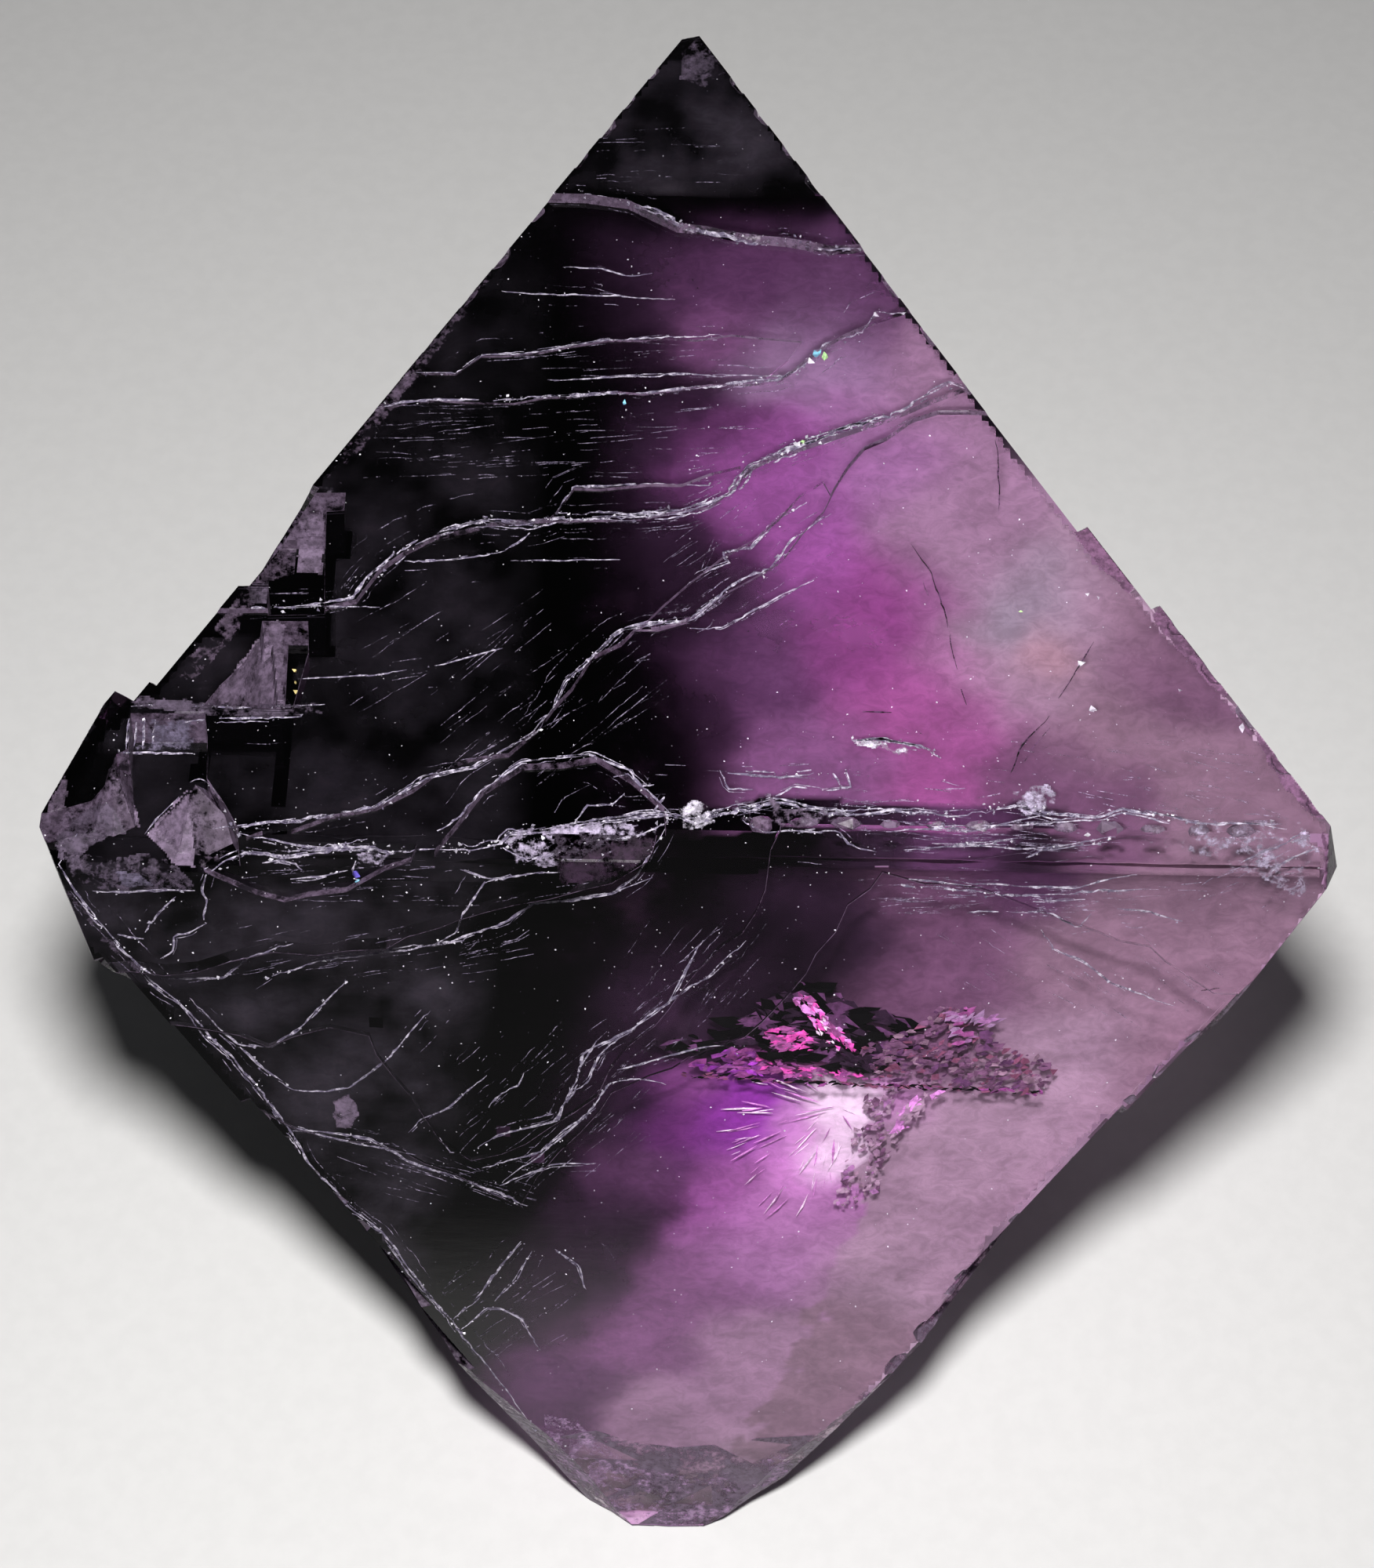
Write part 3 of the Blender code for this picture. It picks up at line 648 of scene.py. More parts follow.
# The frosty ridge line on the top sheet, with the dark strip below it
BRINK: Points = (
    (-14.0, -9.7), (-9.0, -9.6), (-6.6, -9.5), (-4.9, -9.3), (-3.8, -8.9), (-1.8, -8.4), (-0.4, -8.1),
    (0.9, -7.9), (2.4, -7.5), (4.7, -7.7), (8.1, -7.7), (9.0, -7.6), (10.5, -7.8), (12.0, -9.0),
    (19.0, -9.3),
)
FRONT_SPOTS: tuple[Spot, ...] = (
    Spot(-0.3, 7.3, 2.2, Tint.BLACK), Spot(3.0, 7.7, 1.6, Tint.SOOT), Spot(6.9, 7.8, 1.6, Tint.SHADE),
    Spot(9.9, 8.7, 1.4, Tint.DUSK), Spot(13.2, 7.9, 1.8, Tint.HAZE), Spot(15.9, 7.7, 1.8, Tint.HAZE),
    Spot(4.0, 5.1, 1.7, Tint.SOOT), Spot(8.0, 4.9, 1.8, Tint.SHADE), Spot(11.5, 5.0, 1.6, Tint.HAZE),
    Spot(14.9, 4.8, 1.8, Tint.HAZE), Spot(0.7, 2.9, 2.0, Tint.SOOT), Spot(6.1, 2.8, 1.5, Tint.SHADE),
    Spot(11.2, 1.7, 1.6, Tint.MILK), Spot(14.3, 2.4, 1.6, Tint.HAZE), Spot(-5.2, 0.6, 3.5, Tint.BLACK),
    Spot(-1.5, -0.8, 1.3, Tint.SOOT), Spot(0.0, -1.4, 1.1, Tint.DEEP), Spot(1.6, -1.5, 1.2, Tint.ULTRA),
    Spot(1.9, -0.2, 0.7, Tint.ULTRA), Spot(0.1, -0.3, 0.7, Tint.ORCHID), Spot(2.9, 3.4, 1.5, Tint.BLACK),
    Spot(2.6, 5.6, 1.4, Tint.BLACK), Spot(2.1, 0.9, 0.6, Tint.WINE), Spot(4.4, 0.9, 0.5, Tint.ROSE),
    # Painted light: the GLOW spots and the BLOOM spots beside them paint the pool of lamp light that passes
    # through the stone onto the rest face
    Spot(4.5, -0.3, 0.65, Tint.GLOW), Spot(4.6, -1.4, 0.95, Tint.GLOW), Spot(4.7, -2.8, 0.85, Tint.GLOW),
    Spot(3.5, -1.6, 0.8, Tint.BLOOM), Spot(3.5, -3.4, 1.0, Tint.BLOOM), Spot(4.5, -5.0, 1.2, Tint.PETAL),
    Spot(3.2, -5.4, 1.4, Tint.PETAL), Spot(3.2, -7.2, 1.5, Tint.VIOLET), Spot(6.8, -1.6, 1.2, Tint.MILK),
    Spot(6.4, -0.8, 0.6, Tint.BLOOM), Spot(-1.4, -3.4, 1.2, Tint.DUSK), Spot(1.1, -17.0, 1.2, Tint.MILK),
    Spot(8.2, -4.1, 1.8, Tint.MILK), Spot(1.6, -4.9, 1.4, Tint.ORCHID), Spot(-1.7, -5.7, 1.5, Tint.SOOT),
    Spot(1.2, -8.0, 1.5, Tint.PLUM), Spot(4.8, -7.6, 1.3, Tint.MAUVE), Spot(7.7, -7.5, 1.6, Tint.MILK),
    Spot(-3.9, -8.8, 1.5, Tint.SOOT), Spot(-0.7, -11.2, 1.5, Tint.PLUM), Spot(2.7, -11.5, 1.5, Tint.MAUVE),
    Spot(5.7, -11.4, 1.6, Tint.HAZE), Spot(-3.5, -14.2, 1.3, Tint.DUSK), Spot(0.1, -14.9, 1.5, Tint.MAUVE),
    Spot(2.6, -16.7, 1.6, Tint.HAZE), Spot(-0.9, -18.7, 1.5, Tint.HAZE), Spot(-7.7, -6.2, 2.5, Tint.BLACK),
)
# Where the clear part of the front face ends and the milky part starts, from the fracture downwards
MILKY_EDGE: Points = (
    (10.6, 0.0), (5.9, -0.5), (5.7, -3.2), (5.2, -6.2), (4.6, -9.0), (3.5, -12.6), (2.6, -14.4),
    (2.2, -20.0),
)


@dataclass(frozen=True)
class CloudSheet:
    """A healed plane inside the stone, whose haze carries the colours seen through one face, and under the
    front face a painted pool of light.

    Lengths are in millimetres. The sheet's tones wander by slow and quick waves. Below the front face it
    bends up towards the sharp ridge, and the two sheets end where they meet under that ridge. The grey veil
    shows left of a leaning line and behind the start of the dark tip.
    """

    name: str
    plane: Plane
    depth: float
    spots: tuple[Spot, ...]
    gain: float
    murk: float
    edge: Points = ()
    below: tuple[Spot, ...] = ()
    half: float = 21.0
    cell: float = 0.20
    margin: float = 0.08
    fade: float = 0.18
    slow_waves: float = 0.30
    quick_waves: float = 1.1
    quick_shift: float = 0.35
    faintest: float = 30.0
    across_edge: float = 0.02
    bend: float = 1.7
    bend_start: float = 0.85
    ripple: float = 0.12
    behind_ridge: float = 0.9
    thickness: float = 0.01
    veil_left: float = 5.4
    veil_lean: float = 0.16
    veil_height: float = 22.0
    veil_soft: float = 1.6
    tip_start: float = 14.2
    tip_soft: float = 1.2

    def side(self, across: float, up: float) -> float:
        """Tells on which side of the milky edge a point lies.

        Args:
            across: millimetres across the face.
            up: millimetres up the face.

        Returns:
            A number above 0 on the milky side, in millimetres, or 0 where there is no edge.
        """
        if not self.edge or up > self.edge[0][1]:
            return 0.0
        for (u, v), (u2, v2) in zip(self.edge, self.edge[1:]):
            if v2 <= up <= v:
                share = (v - up) / max(v - v2, 1e-6)
                return across - (u + (u2 - u) * share)
        return 0.0

    def palette(self, across: float, up: float) -> tuple[Spot, ...]:
        """Picks the spots above or below the frosty ridge line.

        Args:
            across: millimetres across the face.
            up: millimetres up the face.

        Returns:
            The spots that count there.
        """
        for (u, v), (u2, v2) in zip(BRINK, BRINK[1:]):
            if self.below and u <= across <= u2 and up < v + (v2 - v) * (across - u) / (u2 - u):
                return self.below
        return self.spots

    def tone(self, across: float, up: float) -> Vector:
        """Blends the spots round a point.

        Args:
            across: millimetres across the face.
            up: millimetres up the face.

        Returns:
            Linear colour.
        """
        coarse = drift(Vector((across, up, self.depth)) * self.slow_waves)
        fine = drift(Vector((across, up, self.depth + 9.0)) * self.quick_waves) * self.quick_shift
        u, v = across + coarse.x + fine.x, up + coarse.y + fine.y
        here = self.side(across + 0.9 * noise.noise(Vector((across, up, 4.0)) * 1.6) + 0.5 * fine.x, up)
        total, colour = 1e-9, Vector((0.0, 0.0, 0.0))
        for spot in self.palette(across + 0.4 * fine.x, up + 0.4 * fine.y):
            gap = ((u - spot.across) ** 2 + (v - spot.up) ** 2) / spot.reach ** 2
            if gap > self.faintest:
                continue
            share = math.exp(-gap)
            if here and here * self.side(spot.across, spot.up) < 0.0:
                share *= self.across_edge
            total += share
            colour += spot.tint.linear * share
        return colour / total * self.gain + Tint.VEIL.linear * self.veil(across, up)

    def veil(self, across: float, up: float) -> float:
        """Faint grey haze that only the dark zone and the dark tip show.

        Args:
            across: millimetres across the face.
            up: millimetres up the face.

        Returns:
            Its strength.
        """
        place = self.plane.matrix @ Vector((across * MM, up * MM, 0.0)) / MM
        lean = self.veil_lean * (place.z - self.veil_height)
        zone = min(1.0, max(0.0, (lean - self.veil_left - place.x) / self.veil_soft))
        tip = min(1.0, max(0.0, (place.y - self.tip_start) / self.tip_soft))
        slow = noise.noise(Vector((across, up, self.depth + 20.0)) * 0.45)
        quick = noise.noise(Vector((across, up, self.depth + 30.0)) * 1.7)
        return max(0.6 * zone, 1.6 * tip) * max(0.02, self.murk * (1.6 + 3.0 * slow + 1.2 * quick))

    def laid(self) -> bmesh.types.BMesh:
        """Lays a grid below the face, ready for its tones and its cover.

        Returns:
            The grid, still larger than the stone.
        """
        sheet = bmesh.new()
        sheet.verts.layers.float_color.new("tone")
        sheet.verts.layers.float.new("cover")
        count = int(2.0 * self.half / self.cell)
        seat = self.plane.matrix @ Matrix.Translation((0.0, 0.0, -self.depth * MM))
        bmesh.ops.create_grid(sheet, x_segments=count, y_segments=count, size=self.half * MM, matrix=seat)
        if self.plane is Plane.FRONT:
            flat = self.plane.matrix.inverted()
            for vert in sheet.verts:
                below = RIDGE - (flat @ vert.co).y / MM
                vert.co += self.plane.normal * self.bend * MM * math.exp(-max(0.0, below - self.bend_start))
        return sheet

    def trim(self, sheet: bmesh.types.BMesh, surface: Surface) -> dict[bmesh.types.BMVert, Place]:
        """Cuts away what lies outside the stone.

        Args:
            sheet: the grid.
            surface: the crystal's skin.

        Returns:
            What is left, as (across, up, distance to the skin) in millimetres by corner.
        """
        flat = self.plane.matrix.inverted()
        outside = []
        inside: dict[bmesh.types.BMVert, Place] = {}
        for vert in sheet.verts:
            place, normal, _, reach = surface.tree.find_nearest(vert.co, EDGE)
            roof = surface.tree.ray_cast(vert.co, self.plane.normal)[1]
            under = roof is not None and roof.dot(self.plane.normal) > 0.0
            if not under or (vert.co - place).dot(normal) > 0.0 or reach < self.margin * MM:
                outside.append(vert)
                continue
            spot = flat @ vert.co
            inside[vert] = (spot.x / MM, spot.y / MM, reach / MM)
        bmesh.ops.delete(sheet, geom=outside, context="VERTS")
        return inside

    def build(self, surface: Surface) -> bpy.types.Object:
        """Trims the sheet to the stone and gives each point its tone and cover.

        Args:
            surface: the crystal's skin.

        Returns:
            The haze sheet.
        """
        sheet = self.laid()
        inside = self.trim(sheet, surface)
        tones = sheet.verts.layers.float_color["tone"]
        covers = sheet.verts.layers.float["cover"]
        for vert, (across, up, reach) in inside.items():
            vert[tones] = (*self.tone(across, up), 1.0)
            share = min(1.0, (reach - self.margin) / self.fade)
            vert[covers] = share * share * (3.0 - 2.0 * share)
            wave = noise.noise(Vector((across, up, 3.0)) * 0.6)
            vert.co += self.plane.normal * self.ripple * MM * wave * share
        ridge = Vector((0.0, -RIDGE * MM, HEIGHT))
        apart = Plane.TOP.normal - Plane.FRONT.normal
        if self.plane is Plane.TOP:
            apart = -apart
            ridge.y -= self.behind_ridge * MM
        every = sheet.verts[:] + sheet.edges[:] + sheet.faces[:]
        bmesh.ops.bisect_plane(sheet, geom=every, plane_co=ridge, plane_no=apart, clear_outer=True)
        thicken(sheet, self.thickness * MM)
        return add_piece(sheet, self.name, CloudFinish("haze_" + self.plane.name.lower()).material())


CLOUD_SHEETS: tuple[CloudSheet, ...] = (
    CloudSheet("haze_under_top", Plane.TOP, 2.0, TOP_SPOTS, 0.55, 0.10, below=STRIP_SPOTS),
    CloudSheet("haze_under_front", Plane.FRONT, 2.9, FRONT_SPOTS, 0.81, 0.30, MILKY_EDGE),
)


@dataclass
class CrystalBody:
    """The clear stone itself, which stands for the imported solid."""

    solid: bpy.types.Object
    weld: float = 0.0008 * MM
    rest_gap: float = 0.05 * MM

    def build(self) -> bpy.types.Object:
        """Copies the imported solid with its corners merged, and dresses it.

        Returns:
            The clear stone.
        """
        stone = bmesh.new()
        stone.from_mesh(self.solid.data)
        bmesh.ops.remove_doubles(stone, verts=stone.verts[:], dist=self.weld)
        window = stone.faces.layers.float.new("lets_light")
        for face in stone.faces:
            rest = face.normal.z < -0.98 and face.calc_center_median().z < self.rest_gap
            open_face = max(face.normal.dot(Plane.TOP.normal), face.normal.dot(Plane.FRONT.normal)) > 0.93
            face[window] = 1.0 if rest or open_face else 0.0
        piece = add_piece(stone, "clear_stone", FluoriteGlass("fluorite_glass").material())
        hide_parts(NODE)
        return piece


@dataclass
class CloudySkin:
    """Frosty inside of the hidden lower and rear faces, a hair inside the clear stone."""

    stone: bpy.types.Object
    depth: float = 0.10 * MM
    near: float = 2.8 * MM

    def riser(self, face: bmesh.types.BMFace) -> bool:
        """Tells whether a face is a broken riser just behind one of the two faces that are seen.

        Args:
            face: face of the stone.

        Returns:
            True for such a riser.
        """
        if max(abs(face.normal.dot(plane.normal)) for plane in Plane) > FLAT_TURN:
            return False
        place = face.calc_center_median() - Vector((0.0, 0.0, INRADIUS))
        return max(place.dot(Plane.TOP.normal), place.dot(Plane.FRONT.normal)) > INRADIUS - self.near

    def build(self) -> bpy.types.Object:
        """Copies the hidden faces, a little inwards.

        Returns:
            The cloudy skin.
        """
        skin = bmesh.new()
        skin.from_mesh(self.stone.data)
        window = skin.faces.layers.float["lets_light"]
        open_faces = [face for face in skin.faces
                      if face.normal.z > 0.2 or (face[window] > 0.5 and face.normal.z > -0.5)
                      or self.riser(face)]
        bmesh.ops.delete(skin, geom=open_faces, context="FACES")
        skin.normal_update()
        for vert in skin.verts:
            vert.co -= vert.normal * self.depth
        return add_piece(skin, "cloudy_skin", SkinFinish("cloudy_skin").material())


@dataclass
class CrushedFaces:
    """Frosty film on the broken faces and on the risers of the steps, away from the cleavage faces."""

    stone: bpy.types.Object
    lift: float = 0.012 * MM
    thickness: float = 0.008 * MM
    deep: float = 2.6 * MM

    def build(self) -> bpy.types.Object:
        """Copies the broken faces, a hair outwards.

        Returns:
            The film.
        """
        film = bmesh.new()
        film.from_mesh(self.stone.data)
        middle = Vector((0.0, 0.0, INRADIUS))
        flats = [plane.normal for plane in Plane] + [-Plane.TOP.normal]
        clean = [face for face in film.faces
                 if max(face.normal.dot(flat) for flat in flats) > FLAT_TURN
                 and abs((face.calc_center_median() - middle).dot(face.normal) - INRADIUS) < self.deep]
        bmesh.ops.delete(film, geom=clean, context="FACES")
        film.normal_update()
        for vert in film.verts:
            vert.co += vert.normal * self.lift
        thicken(film, self.thickness)
        tints = {"bright": Tint.FACET, "dim": Tint.ASH}
        finish = FrostFinish("crushed_film", cover=0.62, zoned=0.15, grain=5200.0, **tints)
        return add_piece(film, "crushed_faces", finish.material())


def within(outline: Points, across: float, up: float) -> bool:
    """Tells whether a point lies inside an outline.

    Args:
        outline: corners in order.
        across: the point's first coordinate.
        up: its second coordinate.

    Returns:
        True inside.
    """
    found = False
    for (u, v), (u2, v2) in zip(outline, outline[1:] + outline[:1]):
        if (v > up) != (v2 > up) and across < u + (u2 - u) * (up - v) / (v2 - v):
            found = not found
    return found


def limits(outline: Points) -> tuple[tuple[float, float], tuple[float, float]]:
    """Finds the lowest and highest coordinates of an outline.

    Args:
        outline: its points.

    Returns:
        The lowest and highest across, and the lowest and highest up.
    """
    across, up = zip(*outline)
    return (min(across), max(across)), (min(up), max(up))


def below_ridge(points: Points) -> Points:
    """Turns (across, down from the sharp ridge) into (across, up) on the front face."""
    return tuple((across, RIDGE - down) for across, down in points)


@dataclass(frozen=True)
class Film:
    """A patch of frost on the skin, as its outline in millimetres on a face."""

    tint: Tint
    cover: float
    outline: Points
    plane: Plane = Plane.TOP
    cell: float = 0.06


def low_film(tint: Tint, cover: float, *points: tuple[float, float], cell: float = 0.08) -> Film:
    """A film on the front face, given as (across, down from the sharp ridge)."""
    return Film(tint, cover, below_ridge(points), Plane.FRONT, cell)


FILMS: tuple[Film, ...] = (
    # The pale FACET films on the broken left corner and in its notches paint the light that these walls show
    # as well as their frost
    Film(Tint.FACET, 0.85, ((-11.5, -2.8), (-11.3, -3.0), (-11.1, -5.7), (-12.8, -5.8), (-13.1, -5.5),
        (-12.2, -3.9), (-12.0, -3.3))),
    Film(Tint.DIM, 0.60, ((-15.4, -5.5), (-13.1, -5.7), (-10.0, -5.7), (-10.0, -6.0), (-11.3, -6.2),
        (-12.5, -6.2), (-13.5, -6.2), (-15.3, -5.9))),
    Film(Tint.SLATE, 0.40, ((-15.3, -6.3), (-13.6, -6.3), (-13.5, -6.4), (-13.5, -7.3), (-15.0, -7.4),
        (-15.2, -7.0))),
    Film(Tint.FACET, 0.80, ((-15.5, -8.3), (-15.3, -8.2), (-14.6, -9.7), (-14.7, -9.9), (-15.1, -9.2)),
        cell=0.05),
    Film(Tint.FACET, 0.90, ((-13.4, -8.3), (-13.3, -9.2), (-13.0, -11.0), (-13.6, -11.0), (-14.5, -10.0))),
    Film(Tint.ASH, 0.24, ((-13.4, -8.2), (-12.8, -8.6), (-12.0, -9.8), (-12.3, -10.7), (-12.9, -11.1),
        (-13.2, -9.4))),
    Film(Tint.DIM, 0.70, ((-15.6, -8.9), (-14.9, -10.0), (-15.4, -10.1), (-16.1, -10.7), (-16.7, -10.9),
        (-16.9, -10.1), (-16.2, -9.3), (-15.9, -9.0))),
    Film(Tint.ASH, 0.60, ((-17.3, -9.0), (-16.9, -8.1), (-16.7, -8.4), (-16.7, -9.5), (-17.0, -10.0))),
    Film(Tint.DIM, 0.42, ((-16.7, -10.5), (-15.4, -10.7), (-14.0, -10.6), (-13.0, -11.4), (-13.0, -11.7),
        (-15.6, -11.8), (-16.2, -11.6))),
    Film(Tint.SLATE, 0.80, ((-15.2, -11.1), (-14.5, -11.2), (-13.9, -11.6), (-14.6, -11.7), (-15.0, -11.6))),
    Film(Tint.DIM, 0.50, ((-16.8, -11.1), (-16.1, -12.0), (-15.2, -13.1), (-14.1, -14.1), (-14.3, -14.3),
        (-15.4, -13.2), (-16.4, -11.9))),
    Film(Tint.FACET, 0.85, ((-11.2, 0.0), (-10.4, 0.0), (-10.3, -1.3), (-11.1, -1.3))),
    Film(Tint.FACET, 0.60, ((-11.2, 0.7), (-10.5, 1.0), (-10.4, 0.0), (-11.1, 0.0))),
    Film(Tint.DIM, 0.45, ((-10.6, 1.8), (-10.0, 2.1), (-9.9, 1.1), (-10.5, 1.1))),
    Film(Tint.ASH, 0.65, ((-12.3, -0.4), (-11.2, 0.0), (-11.1, -1.3), (-11.8, -1.6), (-12.2, -1.6))),
    Film(Tint.DIM, 0.75, ((-12.4, -1.6), (-11.9, -1.6), (-11.8, -2.4), (-12.4, -2.4))),
    Film(Tint.FROST, 0.44, ((-4.9, -10.0), (-4.5, -9.6), (-3.7, -9.5), (-2.6, -9.3), (-0.7, -9.4),
        (-0.8, -9.7), (-1.8, -10.0), (-2.8, -10.5), (-3.6, -10.8), (-4.5, -10.7)), cell=0.04),
    Film(Tint.PEARL, 0.42, ((-0.3, -8.9), (0.1, -8.6), (0.6, -8.7), (0.8, -9.2), (0.5, -9.6), (-0.1, -9.5)),
        cell=0.04),
    Film(Tint.FROST, 0.45, ((-8.8, -10.5), (-8.5, -10.3), (-8.0, -10.3), (-7.9, -10.6), (-8.2, -10.8),
        (-8.7, -10.8)), cell=0.04),
    Film(Tint.FROST, 0.30, ((8.8, -8.1), (9.7, -7.8), (10.1, -8.1), (10.1, -8.8), (9.2, -9.0), (8.8, -8.6)),
        cell=0.06),
    Film(Tint.FACET, 0.45, ((1.2, -8.5), (2.3, -8.3), (2.6, -8.8), (4.3, -8.8), (4.5, -9.2), (2.6, -9.4),
        (1.4, -9.2)), cell=0.06),
    Film(Tint.SOOT, 0.60, ((-3.7, -9.7), (-0.8, -9.7), (-0.8, -10.3), (-1.8, -11.1), (-3.4, -11.4))),
    Film(Tint.DIM, 0.45, ((-0.6, 19.4), (-0.1, 20.1), (0.5, 19.7), (1.0, 18.5), (0.2, 17.8), (-0.6, 18.1))),
    Film(Tint.SHADE, 0.95, ((10.9, 0.7), (11.5, 1.0), (11.9, 0.1), (12.6, -1.2), (12.4, -1.5), (11.8, -0.8),
        (11.3, 0.0)), cell=0.04),
    Film(Tint.SHADE, 0.95, ((12.9, -2.1), (13.3, -1.7), (13.7, -2.3), (14.5, -3.8), (15.0, -4.8),
        (14.8, -5.0), (14.0, -3.9), (13.2, -2.7)), cell=0.04),
    Film(Tint.SHADE, 0.95, ((15.0, -5.2), (15.3, -5.5), (15.7, -6.1), (15.4, -6.2)), cell=0.04),
    low_film(Tint.FACET, 0.80, (-9.9, 9.2), (-9.4, 8.9), (-9.1, 9.7), (-9.4, 10.3), (-9.9, 10.3), cell=0.04),
    low_film(Tint.LILAC, 0.34, (-4.1, 22.3), (-2.9, 22.7), (-1.4, 24.7), (1.1, 25.3), (3.5, 24.0),
        (4.0, 24.7), (2.7, 26.5), (1.2, 27.5), (0.2, 27.7), (-1.4, 27.4), (-2.3, 26.6), (-3.9, 24.3)),
    low_film(Tint.FROST, 0.28, (11.8, -0.8), (13.0, -1.4), (15.0, -1.8), (16.3, -1.6), (17.1, -0.3),
        (16.6, 1.1), (15.3, 0.3), (13.1, -0.6)),
    low_film(Tint.SHADE, 0.90, (16.8, -1.6), (17.1, -0.9), (17.4, -0.3), (17.4, 0.1), (17.3, 0.8),
        (17.1, 0.6), (17.1, -0.1), (16.9, -0.9), cell=0.04),
    Film(Tint.SHADE, 0.95, ((15.5, -5.8), (15.7, -5.9), (16.2, -6.9), (16.5, -7.4), (16.9, -8.0),
        (17.3, -8.8), (17.0, -8.8), (16.3, -8.0), (15.8, -6.9)), cell=0.04),
    Film(Tint.ASH, 0.42, ((-14.2, -4.9), (-13.5, -3.6), (-12.8, -2.3), (-12.4, -1.2), (-11.8, -0.2),
        (-11.3, -0.4), (-11.8, -1.4), (-12.2, -2.6), (-12.9, -3.9), (-13.6, -5.0)), cell=0.05),
    Film(Tint.ASH, 0.34, ((-11.0, 1.3), (-10.4, 2.7), (-9.5, 4.5), (-8.4, 6.5), (-7.6, 8.1), (-5.9, 11.5),
        (-5.5, 11.2), (-7.1, 7.8), (-8.0, 6.1), (-9.0, 4.2), (-9.9, 2.4), (-10.5, 1.0)), cell=0.05),
    # Painted sheen: a bright pearl film along a step of the top face, where the face catches the light
    Film(Tint.PEARL, 0.55, ((4.5, -6.5), (5.5, -6.6), (6.2, -6.8), (6.0, -7.05), (5.2, -6.85), (4.7, -6.8)),
        cell=0.04),
)


@dataclass
class FrostFilms:
    """Frosted patches of the broken corner, the notches, the ridge and the worn edges, some of which also
    paint light.

    An outline's border wanders by a share of a millimetre, and the cover thins out near it.
    """

    surface: Surface
    films: tuple[Film, ...] = FILMS
    lift: float = 0.016 * MM
    thickness: float = 0.005 * MM
    jump: float = 0.50 * MM
    edge: float = 0.10
    thinnest: float = 0.35
    waves: float = 2.6
    wander: float = 0.10
    least: float = 0.03

    def patch(self, film: Film) -> bmesh.types.BMesh:
        """Drapes a patch over the skin and gives its points their tone and cover.

        Args:
            film: the patch.

        Returns:
            Its mesh, in the frame.
        """
        (left, right), (low, high) = limits(film.outline)
        middle_u, middle_v = 0.5 * (left + right), 0.5 * (low + high)
        half = 0.2 + max(max(abs(u - middle_u), abs(v - middle_v)) for u, v in film.outline)
        patch = bmesh.new()
        tones = patch.verts.layers.float_color.new("tone")
        covers = patch.verts.layers.float.new("cover")
        count = int(2.0 * half / film.cell)
        bmesh.ops.create_grid(patch, x_segments=count, y_segments=count, size=half)
        stray = []
        for vert in patch.verts:
            across, up = vert.co.x + middle_u, vert.co.y + middle_v
            shift = drift(Vector((across, up, 2.0)) * self.waves) * self.wander
            inner = within(film.outline, across + shift.x, up + shift.y)
            hit = self.surface.drop(film.plane, across, up, self.least) if inner else None
            if hit is None:
                stray.append(vert)
                continue
            vert[tones] = (*film.tint.linear, 1.0)
            near = [within(film.outline, across + shift.x + self.edge * x, up + shift.y + self.edge * y)
                    for x, y in ((1, 0), (-1, 0), (0, 1), (0, -1))]
            vert[covers] = film.cover * (self.thinnest + (1.0 - self.thinnest) * sum(near) / 4.0)
            vert.co = hit[0] + hit[1] * self.lift
        bmesh.ops.delete(patch, geom=stray, context="VERTS")
        torn = [face for face in patch.faces if max(edge.calc_length() for edge in face.edges) > self.jump]
        bmesh.ops.delete(patch, geom=torn, context="FACES")
        loose = [vert for vert in patch.verts if not vert.link_faces]
        bmesh.ops.delete(patch, geom=loose, context="VERTS")
        thicken(patch, self.thickness)
        return patch

    def build(self) -> bpy.types.Object:
        """Drapes all the patches.

        Returns:
            The films, in one mesh.
        """
        whole = bmesh.new()
        for film in self.films:
            join(whole, self.patch(film))
        return add_piece(whole, "frost_films", FilmFinish("frost_film").material())


@dataclass(frozen=True)
class ShardField:
    """Jagged flakes that fill an outline inside the fracture, in millimetres on the front face.

    Shards run along their heading in degrees, or away from the fan's middle where there is one.
    """

    tints: tuple[Tint, ...]
    count: int
    size: float
    heading: float
    outline: Points
    depth: float = 2.4
    slim: float = 0.45
    fan: tuple[float, float] | None = None


